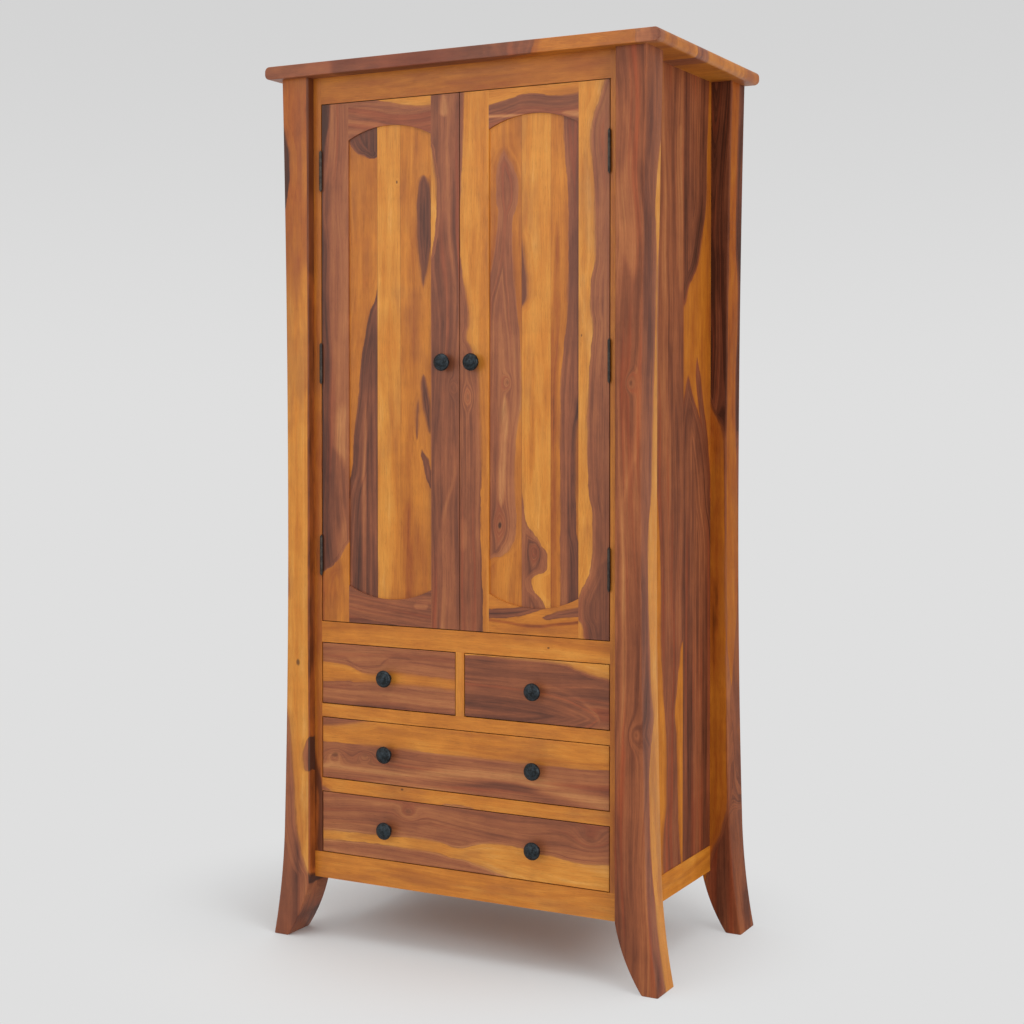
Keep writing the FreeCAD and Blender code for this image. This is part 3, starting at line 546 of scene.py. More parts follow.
lays = {
    "upright": (90, 0, 90),     # z, x, y
    "level": (-90, 0, 0),       # x, z, -y
    "deep": (-90, -90, 0),      # y, z, x
    "flat": (0, 0, 0),          # x, y, z
    "flank": (0, 90, 0),        # z, y, -x
}
bases = {   # where the field starts, and how far it roams
    "heart": (0.008, 0.006), "sap": (-0.02, 0.006), "mixed": (0.0, 0.11),
    "mostHeart": (0.016, 0.10), "mostSap": (-0.016, 0.10),
}
boardLook = {
    "sway": 0.002, "tone": 0.5, "figure": 1.0, "red": 0.35,
    "amount": 0.25, "soft": 0.004,      # of a dark or light band
    "closed": -0.006,                   # half width where a band is closed
    "seedStep": 4.1,                    # from one plank to the next
    "seam": (0.0002, 0.0008), "seamDark": 0.45,
    "bump": 0.25, "bumpDepth": 0.0004,
    "gloss": 0.13,
    "specularLeast": 0.04, "specularGloss": 1.8, "coatRough": 0.3,
}


def curveValue(graph, along, places, values):
    # a curve through listed points: value over place, both in metres
    low, high = min(values), max(values)
    reach = max(high - low, 1e-6)
    start, span = places[0], places[-1] - places[0]
    ratio = graph.node("ShaderNodeMapRange", {"Value": along, "From Min": start, "From Max": places[-1]})
    made = graph.node("ShaderNodeFloatCurve", {"Value": ratio.outputs["Result"]})
    points = made.mapping.curves[0].points
    while len(points) < len(places):
        points.new(0.5, 0.5)
    for point, place, value in zip(points, places, values):
        point.location = ((place - start) / span, (value - low) / reach)
        point.handle_type = "AUTO_CLAMPED"
    made.mapping.update()
    return graph.timesAdd(made.outputs[0], reach, low)


def bandShape(graph, along, rows):
    # rows in millimetres to a centre line (low + high) / 2 and a half width (high - low) / 2, both curves
    places = [row[0] / 1000 for row in rows]
    centres = [(row[1] + row[2]) / 2000 for row in rows]
    halves = [(row[2] - row[1]) / 2000 if row[2] > row[1] else boardLook["closed"] for row in rows]
    return {"Centre": curveValue(graph, along, places, centres),
            "Half": curveValue(graph, along, places, halves)}


def plankNodes(graph, vector, plank, seed):
    # one board: its space, then its bands and knots one after another
    base, roam = bases[plank.get("base", "heart")]
    sway = plank.get("sway", boardLook["sway"])
    out = graph.group(plankSpace, {"Vector": vector, "Seed": seed, "Sway": sway, "Base": base, "Roam": roam})
    state = {name: out[name] for name in ("Vector", "Field", "Flow")}
    state.update({"Core": 0.0, "Shade": 0.0})

    def apply(tree, names, inputs):
        # runs the named parts of the board's state through one group
        made = graph.group(tree, {**{name: state[name] for name in names}, **inputs})
        state.update({name: made[name] for name in names})

    along, across, deep = graph.split(state["Vector"])
    for kind, rows, *more in plank.get("bands", []):
        extra = more[0] if more else {}
        band = {"Across": deep if extra.get("deep") else across, **bandShape(graph, along, rows)}
        if kind in ("heart", "sap"):
            apply(heartBand, ("Field", "Flow"), {**band, "Turn": 1.0 if kind == "heart" else -1.0})
        else:
            amount = extra.get("amount", boardLook["amount"])
            apply(shadeBand, ("Shade",), {**band, "Amount": amount if kind == "dark" else -amount,
                                          "Soft": extra.get("soft", boardLook["soft"])})
    for spotAlong, spotAcross, radius, depth in plank.get("knots", []):
        apply(knotGroup, ("Flow", "Core"), {
            "Vector": state["Vector"], "Along": spotAlong / 1000, "Across": spotAcross / 1000,
            "Radius": radius / 1000, "Depth": depth})
    state["Heart Tone"] = plank.get("heartTone", boardLook["tone"])
    state["Sap Tone"] = plank.get("sapTone", boardLook["tone"])
    state["Figure"] = plank.get("figure", boardLook["figure"])
    state["Red"] = plank.get("red", boardLook["red"])
    return state


def woodMaterial(name, lay, planks, seed, gloss):
    # the boards side by side, each taking over past the joint of the one before, then one rosewood group
    material, graph = emptyMaterial(name)
    turn = [math.radians(degrees) for degrees in lays[lay]]
    mapping = graph.node("ShaderNodeMapping", {"Vector": graph.objectPlace(), "Rotation": turn})
    board = mapping.outputs["Vector"]
    across = graph.split(board)[1]
    state = plankNodes(graph, board, planks[0], seed)
    seam = 0.0
    for count, (before, plank) in enumerate(zip(planks, planks[1:]), 1):
        joint = before["upTo"] / 1000
        beyond = graph.math("GREATER_THAN", across, joint)
        nextState = plankNodes(graph, board, plank, seed + boardLook["seedStep"] * count)
        for key in state:
            mix = graph.mixVector if key == "Vector" else graph.mixValue
            state[key] = mix(beyond, state[key], nextState[key])
        seam = graph.most(seam, graph.ease(graph.apart(across, joint), *boardLook["seam"], 1.0, 0.0))
    out = graph.group(rosewood, {**state, "Seed": seed})
    colour = out["Color"]
    if len(planks) > 1:
        colour = graph.mixColour(graph.times(seam, boardLook["seamDark"]), colour, paint(timber["vein"]))
    bump = graph.node("ShaderNodeBump", {"Height": out["Height"], "Strength": boardLook["bump"],
                                         "Distance": boardLook["bumpDepth"]})
    shader = graph.node("ShaderNodeBsdfPrincipled", {
        "Base Color": colour, "Roughness": out["Roughness"], "Normal": bump.outputs["Normal"],
        "Specular IOR Level": boardLook["specularLeast"] + boardLook["specularGloss"] * gloss,
        "Coat Weight": gloss, "Coat Roughness": boardLook["coatRough"]})
    graph.finish("ShaderNodeOutputMaterial", shader)
    return material


def dress(nodeName, material):
    # gives a CAD node its finish in every slot it has
    target = nodes[nodeName]
    if not target.material_slots:
        target.data.materials.append(material)
    for slot in target.material_slots:
        slot.material = material


def dressWood(nodeName, lay, planks, seed, gloss=boardLook["gloss"]):
    # gives a CAD node wood of its own
    dress(nodeName, woodMaterial(nodeName + "Wood", lay, planks, seed, gloss))


# a seed moves the noise, so that no two boards match; each group counts up from its first
firstSeeds = {"topSlab": 3.0, "rightFlank": 5.0, "leftFlank": 8.0, "leftDoor": 11.0, "rightDoor": 31.0,
              "drawers": 41.0, "faceFrame": 51.0, "sideRails": 61.0, "legs": 71.0, "inside": 81.0}

leftDoor = {
    "hinge_stile": [{"base": "heart", "heartTone": 0.42, "figure": 0.8, "bands": [
        ("sap", [(740, -400, -280), (860, -385, -285), (888, -342, -285), (911, -322, -285),
            (934, -309, -287), (955, -296, -296)]),
        ("dark", [(1790, -380, -370), (1840, -380, -366), (1896, -380, -361), (1940, -380, -352),
            (1980, -380, -350)], {"amount": 0.32}),
        ("dark", [(940, -380, -330), (1040, -380, -312), (1120, -380, -312), (1180, -380, -345),
            (1240, -372, -350)], {"amount": 0.24, "soft": 0.012}),
        ("light", [(1110, -318, -318), (1145, -322, -306), (1228, -328, -304), (1290, -312, -312)],
            {"amount": 0.16, "soft": 0.010})]}],
    "top_rail": [{"base": "heart", "heartTone": 0.48, "sapTone": 0.3, "bands": [
        ("heart", [(-310, 1905, 1975), (-228, 1892, 1960), (-165, 1880, 1948), (-118, 1878, 1946),
            (-60, 1882, 1952)]),
        ("sap", [(-225, 1975, 1975), (-206, 1970, 1995), (-162, 1961, 1995), (-118, 1954, 1995),
            (-60, 1951, 1995)]),
        ("light", [(-300, 1921, 1934), (-228, 1912, 1924), (-165, 1902, 1914), (-60, 1904, 1916)],
            {"amount": 0.2})]}],
    "bottom_rail": [{"base": "heart", "heartTone": 0.52, "bands": [
        ("heart", [(-310, 770, 850), (-200, 755, 835), (-60, 740, 820)]),
        ("light", [(-125, 806, 806), (-112, 799, 811), (-92, 800, 812), (-80, 806, 806)],
            {"amount": 0.22, "soft": 0.007})]}],
    "meeting_stile": [{"base": "heart", "heartTone": 0.54, "sapTone": 0.2, "red": 0.5, "bands": [
        ("sap", [(1600, -75, -75), (1620, -80, -71), (1662, -80, -63), (1708, -80, -60), (1754, -80, -60),
            (1800, -80, -65), (1845, -80, -72), (1870, -76, -76)]),
        ("light", [(847, -54, -40), (899, -55, -41), (952, -54, -40), (1005, -48, -39), (1057, -33, -26),
            (1110, -19, -13), (1163, -15, -12), (1210, -13, -13)], {"amount": 0.2, "soft": 0.006}),
        ("light", [(1915, -42, -42), (1935, -52, -32), (1955, -50, -34), (1990, -42, -42)],
            {"amount": 0.3, "soft": 0.006})],
        "knots": [(1307, -20, 4, 0.25)]}],
    "panel": [
        {"upTo": -221.5, "base": "sap", "sapTone": 0.60, "heartTone": 0.70, "bands": [
            ("heart", [(1836, -250, -250), (1846, -258, -212), (1857, -279, -212), (1868, -290, -212),
                (1878, -297, -212), (1920, -315, -212)]),
            ("heart", [(760, -330, -212), (1040, -312, -212), (1084, -301, -212), (1110, -293, -212),
                (1198, -285, -212), (1285, -274, -212), (1358, -268, -212), (1426, -256, -212),
                (1484, -242, -212), (1533, -224, -212), (1560, -218, -218)]),
            ("light", [(820, -264, -256), (1000, -266, -255), (1180, -262, -252), (1300, -252, -252)],
                {"amount": 0.35, "soft": 0.005})]},
        {"upTo": -158.5, "base": "sap", "sapTone": 0.33, "knots": [(1783, -168, 2.6, 0.9)], "bands": [
            ("dark", [(760, -185, -150), (950, -178, -150), (1150, -176, -150), (1250, -158, -158)],
                {"amount": 0.3, "soft": 0.012})]},
        {"base": "sap", "sapTone": 0.50, "heartTone": 0.66, "bands": [
            ("heart", [(1528, -97, -97), (1543, -99, -95), (1578, -104, -86), (1613, -109, -80),
                (1684, -115, -76), (1755, -113, -78), (1785, -106, -86), (1795, -96, -96)]),
            ("heart", [(1200, -80, -80), (1213, -84, -78), (1242, -92, -78), (1270, -100, -79),
                (1299, -103, -85), (1328, -101, -93), (1340, -97, -97)]),
            ("heart", [(1070, -77, -77), (1085, -81, -74), (1101, -88, -74), (1123, -95, -78),
                (1144, -101, -84), (1165, -103, -99), (1178, -102, -102)]),
            ("heart", [(1180, -116, -116), (1200, -118, -113), (1230, -119, -112), (1262, -116, -110),
                (1290, -111, -111)]),
            ("dark", [(760, -150, -90), (900, -148, -80), (1010, -150, -120), (1060, -135, -135)],
                {"amount": 0.34, "soft": 0.016}),
            ("dark", [(1150, -150, -130), (1300, -145, -118), (1500, -140, -112), (1700, -128, -118),
                (1880, -120, -112)], {"amount": 0.2, "soft": 0.012})]},
    ],
}

rightDoor = {
    "meeting_stile": [{"base": "sap", "sapTone": 0.36, "heartTone": 0.48, "red": 0.5, "bands": [
        ("heart", [(740, -12, 61), (900, -12, 58), (1000, -12, 53), (1150, -12, 56), (1250, -12, 53),
            (1330, -12, 50), (1380, -12, 37), (1405, -12, 27), (1425, -12, 19), (1450, -12, 25),
            (1500, -12, 21), (1560, -12, 8), (1630, -12, 1), (1700, -12, 0), (1760, -12, 4), (1850, -12, 8),
            (1980, -12, 12)]),
        ("dark", [(1380, 52, 72), (1600, 54, 70), (1800, 56, 70), (1980, 58, 70)],
            {"amount": 0.3, "soft": 0.008}),
        ("light", [(930, 8, 8), (960, 2, 16), (1000, 4, 14), (1020, 8, 8)], {"amount": 0.22, "soft": 0.009})],
        "knots": [(1288, 22, 5, 0.2)]}],
    "top_rail": [{"base": "sap", "sapTone": 0.45, "heartTone": 0.55, "bands": [
        ("heart", [(60, 1840, 1934), (76, 1840, 1940), (107, 1840, 1945), (139, 1840, 1953),
            (171, 1840, 1958), (203, 1840, 1955), (235, 1840, 1949), (267, 1840, 1948), (310, 1840, 1955)]),
        ("light", [(60, 1911, 1917), (110, 1909, 1915), (156, 1908, 1913), (190, 1910, 1910)],
            {"amount": 0.45, "soft": 0.003}),
        ("light", [(248, 1908, 1908), (262, 1905, 1911), (280, 1900, 1911), (310, 1896, 1912)],
            {"amount": 0.4, "soft": 0.004})]}],
    "bottom_rail": [{"base": "sap", "sapTone": 0.56, "heartTone": 0.68, "bands": [
        ("heart", [(60, 787, 808), (113, 791, 812), (149, 796, 816), (185, 807, 823), (222, 819, 831),
            (240, 826, 826)]),
        ("heart", [(205, 796, 796), (220, 793, 802), (246, 797, 812), (272, 801, 818), (310, 806, 826)]),
        ("dark", [(60, 781, 788), (120, 779, 785), (179, 774, 781), (240, 780, 787), (310, 790, 797)],
            {"amount": 0.4, "soft": 0.002})]}],
    "hinge_stile": [{"base": "sap", "sapTone": 0.30, "heartTone": 0.52, "bands": [
        ("heart", [(740, 322, 386), (754, 314, 386), (790, 305, 386), (803, 296, 386), (820, 294, 386),
            (850, 300, 386), (880, 315, 386), (930, 330, 386), (970, 333, 386), (1010, 333, 386),
            (1080, 324, 386), (1200, 320, 386), (1300, 322, 386), (1400, 329, 386), (1440, 332, 386),
            (1480, 327, 386), (1530, 328, 386), (1600, 338, 386), (1700, 337, 386), (1800, 332, 386),
            (1850, 327, 386), (1890, 333, 386), (1930, 347, 386), (1978, 362, 386)]),
        ("dark", [(740, 318, 386), (820, 318, 386), (900, 340, 386), (940, 372, 372)],
            {"amount": 0.10, "soft": 0.01})],
        "knots": [(1420, 305, 2, 0.7)]}],
    "panel": [
        {"upTo": 156.5, "base": "sap", "sapTone": 0.58, "heartTone": 0.45, "bands": [
            ("heart", [(900, 62, 62), (922, 56, 78), (932, 56, 108), (950, 56, 129), (1000, 56, 143),
                (1080, 56, 138), (1180, 56, 141), (1300, 56, 155), (1400, 56, 153), (1480, 56, 145),
                (1540, 70, 138), (1580, 80, 135), (1620, 87, 132), (1680, 94, 134), (1740, 91, 149),
                (1790, 92, 137), (1815, 100, 124), (1832, 108, 114), (1846, 111, 111)]),
            ("light", [(1030, 104, 104), (1080, 96, 114), (1180, 100, 118), (1250, 106, 122),
                (1300, 114, 114)], {"amount": 0.3, "soft": 0.006})],
            "knots": [(1001, 101, 5, 0.95), (1315, 120, 4, 0.3)]},
        {"upTo": 229, "base": "sap", "sapTone": 0.36, "heartTone": 0.58, "bands": [
            ("heart", [(1478, 154, 154), (1492, 148, 161), (1521, 148, 172), (1549, 148, 171),
                (1577, 148, 167), (1606, 148, 163), (1634, 148, 159), (1655, 154, 154)]),
            ("heart", [(770, 148, 224), (815, 148, 218), (839, 148, 205), (860, 148, 184), (875, 148, 181),
                (887, 148, 189), (900, 148, 212), (912, 148, 221), (934, 148, 221), (958, 148, 206),
                (982, 148, 185), (1006, 148, 168), (1054, 148, 159), (1085, 154, 154)]),
            ("dark", [(1080, 176, 176), (1150, 176, 186), (1290, 180, 190), (1400, 186, 186)],
                {"amount": 0.28, "soft": 0.006})],
            "knots": [(942, 190, 5, 0.3)]},
        {"base": "sap", "sapTone": 0.55, "heartTone": 0.58, "bands": [
            ("heart", [(760, 253, 306), (900, 252, 306), (960, 251, 300), (1000, 251, 292), (1100, 251, 290),
                (1200, 251, 292), (1250, 252, 300), (1300, 252, 306), (1340, 254, 306), (1400, 261, 306),
                (1500, 270, 304), (1600, 272, 304), (1700, 271, 304), (1800, 265, 304), (1880, 259, 304)]),
            ("dark", [(760, 226, 243), (1000, 226, 242), (1200, 225, 241), (1400, 229, 248), (1600, 238, 251),
                (1700, 240, 240)], {"amount": 0.34, "soft": 0.004}),
            ("dark", [(960, 272, 304), (1100, 274, 304), (1230, 280, 304), (1300, 292, 292)],
                {"amount": 0.2, "soft": 0.01})]},
    ],
}

doorLays = {"hinge_stile": "upright", "meeting_stile": "upright", "top_rail": "level", "bottom_rail": "level",
            "panel": "upright"}
for side, boards in (("left", leftDoor), ("right", rightDoor)):
    for number, (board, lay) in enumerate(doorLays.items()):
        dressWood(f"door_{side}_{board}", lay, boards[board], firstSeeds[side + "Door"] + number)
print("doors dressed")

drawerFronts = {
    "drawer_upper_left_front": [{"base": "heart", "heartTone": 0.42, "sapTone": 0.48, "bands": [
        ("sap", [(-385, 612, 660), (-355, 614, 660), (-322, 617, 658), (-285, 617, 650), (-255, 620, 641),
            (-225, 621, 639), (-200, 621, 643), (-167, 620, 647), (-116, 620, 645), (0, 620, 643)]),
        ("dark", [(-385, 676, 682), (-317, 668, 675), (-256, 652, 658), (-215, 656, 661), (-170, 676, 684),
            (-108, 668, 678), (0, 664, 674)], {"amount": 0.16, "soft": 0.005}),
        ("dark", [(-385, 545, 578), (0, 545, 578)], {"amount": 0.22, "soft": 0.012})]}],
    "drawer_upper_right_front": [{"base": "heart", "heartTone": 0.58, "sapTone": 0.25, "bands": [
        ("heart", [(-60, 500, 655), (27, 498, 652), (150, 505, 648), (230, 520, 640), (300, 540, 622),
            (340, 562, 604), (362, 584, 584)]),
        ("sap", [(10, 702, 730), (200, 702, 730), (258, 699, 730), (297, 690, 730), (335, 680, 730),
            (380, 671, 730)]),
        ("light", [(240, 640, 646), (290, 624, 632), (330, 600, 612), (346, 580, 598), (352, 574, 574)],
            {"amount": 0.13, "soft": 0.008})]}],
    "drawer_middle_front": [{"base": "sap", "sapTone": 0.46, "heartTone": 0.46, "bands": [
        ("heart", [(-385, 300, 469), (-224, 300, 472), (-74, 300, 469), (75, 300, 470), (224, 300, 469),
            (385, 300, 473)]),
        ("heart", [(-385, 506, 570), (-328, 513, 570), (-283, 521, 570), (-240, 530, 570), (-215, 540, 540)]),
        ("light", [(-300, 376, 376), (-256, 366, 386), (-177, 366, 396), (-97, 366, 398), (-18, 366, 391),
            (40, 366, 384), (70, 372, 372)], {"amount": 0.2, "soft": 0.01}),
        ("light", [(-150, 402, 418), (0, 412, 440), (100, 420, 446), (250, 400, 430), (385, 386, 410)],
            {"amount": 0.25, "soft": 0.012}),
        ("dark", [(0, 398, 402), (60, 400, 412), (130, 404, 420), (190, 408, 414), (215, 411, 411)],
            {"amount": 0.18, "soft": 0.008})],
        "knots": [(-340, 441, 7, 0.5), (-256, 446, 5, 0.25)]}],
    "drawer_bottom_front": [{"base": "heart", "heartTone": 0.43, "sapTone": 0.30, "sway": 0.003, "bands": [
        ("sap", [(-385, 236, 258), (-200, 242, 262), (-100, 241, 267), (-50, 238, 264), (-10, 235, 259),
            (30, 228, 268), (60, 224, 275), (100, 215, 279), (150, 205, 279), (200, 190, 271),
            (250, 180, 268), (300, 176, 263), (385, 176, 266)])],
        "knots": [(333, 317, 9, 0.18), (-136, 322, 6, 0.12)]}],
}
for number, (name, planks) in enumerate(drawerFronts.items()):
    dressWood(name, "level", planks, firstSeeds["drawers"] + number)
print("drawer fronts dressed")

faceFrame = {
    "front_top_rail": ("level", [{"base": "sap", "sapTone": 0.62, "figure": 0.8}]),
    "waist_rail": ("level", [{"base": "sap", "sapTone": 0.47, "figure": 0.9, "knots": [(225, 731, 2.5, 0.8)],
        "bands": [
        ("dark", [(180, 742, 760), (385, 728, 760)], {"amount": 0.22, "soft": 0.012})]}]),
    "upper_drawer_rail": ("level", [{"base": "sap", "sapTone": 0.48, "figure": 0.9}]),
    "lower_drawer_rail": ("level", [{"base": "sap", "sapTone": 0.44, "figure": 0.9, "bands": [
        ("heart", [(-385, 352, 368), (-360, 352, 362), (-335, 352, 352)]),
        ("heart", [(-60, 352, 352), (-25, 350, 357), (20, 348, 355), (45, 350, 350)])],
        "knots": [(-154, 377, 3, 0.8)]}]),
    "drawer_divider": ("upright", [{"base": "sap", "sapTone": 0.42}]),
    "front_bottom_rail": ("level", [{"base": "sap", "sapTone": 0.46, "figure": 1.0}]),
    "front_stile_left": ("upright", [{"base": "sap", "sapTone": 0.68, "bands": [
        # painted shade: this dark band darkens the stile's edge in the corner beside the left leg
        ("dark", [(140, -400, -360), (330, -400, -372), (430, -400, -392), (470, -400, -400)],
            {"amount": 0.5, "soft": 0.006})]}]),
    "front_stile_right": ("upright", [{"base": "sap", "sapTone": 0.60}]),
}
for number, (name, (lay, planks)) in enumerate(faceFrame.items()):
    dressWood(name, lay, planks, firstSeeds["faceFrame"] + number)
print("face frame dressed")

topBoards = [
    {"upTo": -90, "base": "sap", "sapTone": 0.60, "heartTone": 0.42, "bands": [
        ("dark", [(-330, -320, -320), (-250, -340, -250), (150, -340, -250), (230, -320, -320)],
            {"amount": 0.22, "soft": 0.03}),
        ("heart", [(-520, -340, -262), (0, -340, -268), (130, -340, -280), (190, -340, -300),
            (230, -320, -320)]),
        ("heart", [(430, -320, -320), (470, -340, -292), (520, -340, -270)]),
        ("heart", [(-520, -190, -120), (-250, -180, -140), (-100, -160, -160)])]},
    {"upTo": 70, "base": "mixed", "sapTone": 0.52, "heartTone": 0.5, "bands": [
        ("heart", [(-520, -95, -10), (0, -95, -20), (520, -95, -32)])]},
    {"upTo": 205, "base": "sap", "sapTone": 0.46, "heartTone": 0.55, "bands": [
        ("heart", [(-520, 60, 110), (-200, 60, 96), (100, 60, 80), (180, 60, 60)])]},
    {"base": "sap", "sapTone": 0.66, "heartTone": 0.5, "bands": [
        ("heart", [(-520, 262, 330), (-100, 275, 330), (300, 300, 330), (360, 316, 316)])]},
]
dressWood("top_slab", "flat", topBoards, firstSeeds["topSlab"])

rightFlank = [
    {"upTo": 45, "base": "heart", "heartTone": 0.56, "red": 0.5, "sapTone": 0.55, "bands": [
        ("sap", [(120, -210, -65), (191, -210, -65), (238, -210, -71), (305, -210, -66), (371, -210, -51),
            (462, -210, -51), (590, -210, -67), (739, -210, -85), (920, -210, -88), (1000, -210, -98),
            (1100, -210, -114), (1200, -180, -180)]),
        ("light", [(1520, 30, 30), (1560, 14, 44), (1657, -2, 44), (1764, 0, 44), (1872, 4, 44),
            (1920, 30, 30)], {"amount": 0.14, "soft": 0.012}),
        ("sap", [(160, 44, 44), (190, 38, 60), (250, 28, 60), (350, 18, 60), (450, 12, 60), (510, 8, 60),
            (560, -2, 60), (600, 7, 60), (650, 18, 60), (700, 32, 60), (725, 42, 42)])]},
    {"base": "sap", "sapTone": 0.62, "heartTone": 0.62, "sway": 0.003, "bands": [
        ("heart", [(1490, 48, 48), (1520, 30, 64), (1560, 30, 98), (1600, 30, 134), (1680, 30, 165),
            (1750, 30, 186), (1850, 30, 190), (2045, 30, 203)]),
        ("heart", [(140, 20, 250), (900, 20, 250), (1050, 20, 214), (1100, 20, 206), (1130, 20, 198),
            (1170, 20, 186), (1210, 24, 166), (1250, 36, 134), (1290, 52, 102), (1325, 66, 80),
            (1340, 72, 72)]),
        ("heart", [(1100, 200, 215), (1145, 186, 206), (1217, 154, 190), (1289, 130, 166), (1361, 124, 138),
            (1395, 128, 128)])]},
]
leftFlank = [
    {"upTo": -30, "base": "mostHeart", "heartTone": 0.6, "sapTone": 0.55},
    {"upTo": 110, "base": "heart", "heartTone": 0.55, "sapTone": 0.5, "bands": [
        ("sap", [(200, -40, 10), (700, -40, 34), (1100, -40, 16), (1500, -40, -8), (1700, -34, -34)])]},
    {"base": "mostSap", "heartTone": 0.6, "sapTone": 0.58},
]
sideRail = [{"base": "sap", "sapTone": 0.48}]
dressWood("side_panel_right", "flank", rightFlank, firstSeeds["rightFlank"], gloss=0.0)
dressWood("side_panel_left", "flank", leftFlank, firstSeeds["leftFlank"], gloss=0.0)
for number, name in enumerate(("side_rail_left", "side_rail_right")):
    dressWood(name, "deep", sideRail, firstSeeds["sideRails"] + number, gloss=0.0)
print("top and flanks dressed")

legGloss = {"leg_front_right": 0.06, "leg_front_left": 0.13, "leg_rear_right": 0.0, "leg_rear_left": 0.0}
legWood = {
    "leg_front_right": [{"base": "heart", "heartTone": 0.50, "sapTone": 0.30, "red": 0.55, "bands": [
        ("light", [(1520, 440, 440), (1560, 430, 446), (1622, 408, 448), (1690, 402, 446), (1758, 410, 443),
            (1826, 424, 435), (1893, 418, 426), (1930, 424, 424)], {"amount": 0.16, "soft": 0.009}),
        ("light", [(1060, 412, 420), (1130, 428, 438), (1192, 444, 454), (1317, 446, 456), (1360, 440, 440)],
            {"amount": 0.16, "soft": 0.008}),
        ("sap", [(-10, -242, -150), (150, -242, -150), (250, -249, -150), (350, -257, -150),
            (450, -255, -150), (550, -236, -160), (620, -229, -183), (700, -239, -197), (800, -246, -193),
            (950, -249, -188), (1100, -230, -196), (1250, -225, -198), (1400, -218, -205), (1550, -214, -206),
            (1650, -219, -198), (1750, -221, -180), (1850, -198, -180), (1880, -186, -186)], {"deep": True}),
        # painted shade: this dark band darkens the leg's side face, which stands in less light
        ("dark", [(-10, -283, -258), (600, -283, -246), (750, -283, -250), (1100, -283, -236),
            (2060, -283, -222)], {"amount": 0.11, "soft": 0.010, "deep": True}),
        ("dark", [(-10, 380, 520), (150, 380, 520), (260, 430, 440)], {"amount": 0.04, "soft": 0.03})],
        "knots": [(1317, 433, 4, 0.30), (561, 444, 6, 0.16)]}],
    "leg_front_left": [{"base": "sap", "sapTone": 0.27, "heartTone": 0.5, "bands": [
        ("dark", [(1350, -430, -430), (1500, -436, -424), (1640, -490, -380), (1800, -560, -310),
            (2060, -580, -290)], {"amount": 0.72, "soft": 0.03}),
        ("heart", [(1725, -466, -466), (1744, -480, -458), (1798, -480, -449), (1853, -480, -448),
            (1907, -480, -460), (1935, -466, -466)]),
        ("heart", [(-10, -560, -390), (130, -560, -390), (165, -540, -404), (230, -520, -426),
            (300, -500, -436), (366, -490, -441), (440, -485, -446), (520, -480, -455), (560, -466, -466)]),
        ("heart", [(396, -400, -400), (408, -411, -380), (435, -414, -380), (462, -408, -380),
            (482, -398, -398)]),
        ("heart", [(800, -462, -462), (815, -480, -456), (840, -480, -454), (880, -480, -460),
            (905, -464, -464)]),
        ("sap", [(470, -256, -256), (560, -268, -228), (700, -281, -190), (900, -282, -170),
            (2060, -282, -170)], {"deep": True}),
        # painted shade: this dark band darkens the leg's inner face, in the corner beside the left stile
        ("dark", [(-10, -399.2, -380), (2060, -399.2, -380)], {"amount": 1.0, "soft": 0.0014})],
        "knots": [(654, -428, 6, 0.8)]}],
    "leg_rear_right": [{"base": "heart", "heartTone": 0.60, "sapTone": 0.70, "bands": [
        ("sap", [(30, 380, 392), (110, 380, 405), (190, 380, 424), (260, 380, 452), (330, 380, 462),
            (600, 380, 459), (1000, 380, 455), (1180, 380, 452), (1260, 380, 420), (1330, 380, 398),
            (1370, 384, 384)]),
        # painted shade: this dark band darkens the top of the rear leg, in the shade under the top
        ("dark", [(1180, 430, 440), (1300, 380, 470), (1700, 380, 470), (2060, 380, 470)],
            {"amount": 0.20, "soft": 0.02}),
        # the deep sap band begins just behind the front face, so the front face keeps dark heartwood, which
        # partly paints the shade on that face
        ("sap", [(560, 250, 250), (640, 236, 262), (760, 226, 290), (900, 222, 300), (1100, 222, 290),
            (1300, 222, 276), (1500, 222, 286), (1700, 222, 266), (2060, 222, 270)], {"deep": True})]}],
    "leg_rear_left": [{"base": "mostHeart", "heartTone": 0.55, "sapTone": 0.55}],
}
for number, (name, planks) in enumerate(legWood.items()):
    dressWood(name, "upright", planks, firstSeeds["legs"] + number, legGloss[name])
print("legs dressed")

insideBoards = {
    "back_rails": ("level", [{"base": "mostSap", "sapTone": 0.62}]),
    "back_panel": ("upright", [
        {"upTo": -190, "base": "mostSap", "sapTone": 0.58},
        {"upTo": 5, "base": "mostHeart", "heartTone": 0.5},
        {"upTo": 200, "base": "mixed", "sapTone": 0.52}, {"base": "mostHeart", "heartTone": 0.55}]),
    "top_cleats": ("deep", [{"base": "sap", "sapTone": 0.6}]),
    "shelf_cleats": ("deep", [{"base": "sap", "sapTone": 0.6}]),
    "drawer_runner_center": ("deep", [{"base": "sap", "sapTone": 0.6}]),
    "drawer_runners_left": ("deep", [{"base": "sap", "sapTone": 0.58}]),
    "drawer_runners_right": ("deep", [{"base": "sap", "sapTone": 0.62}]),
    "wardrobe_floor": ("flat", [{"upTo": -60, "base": "mostSap", "sapTone": 0.5},
        {"base": "mixed", "sapTone": 0.55}]),
    "wardrobe_shelf": ("flat", [{"upTo": 20, "base": "mixed", "sapTone": 0.5},
        {"base": "mostSap", "sapTone": 0.55}]),
    "hanging_rod": ("level", [{"base": "sap", "sapTone": 0.45}]),
    "drawer_upper_left_box": ("deep", [{"base": "sap", "sapTone": 0.45}]),
    "drawer_upper_right_box": ("deep", [{"base": "sap", "sapTone": 0.48}]),
    "drawer_middle_box": ("deep", [{"base": "sap", "sapTone": 0.44}]),
    "drawer_bottom_box": ("deep", [{"base": "sap", "sapTone": 0.5}]),
}
insideGloss = 0.1
for number, (name, (lay, planks)) in enumerate(insideBoards.items()):
    dressWood(name, lay, planks, firstSeeds["inside"] + number, insideGloss)
print("inside boards dressed")


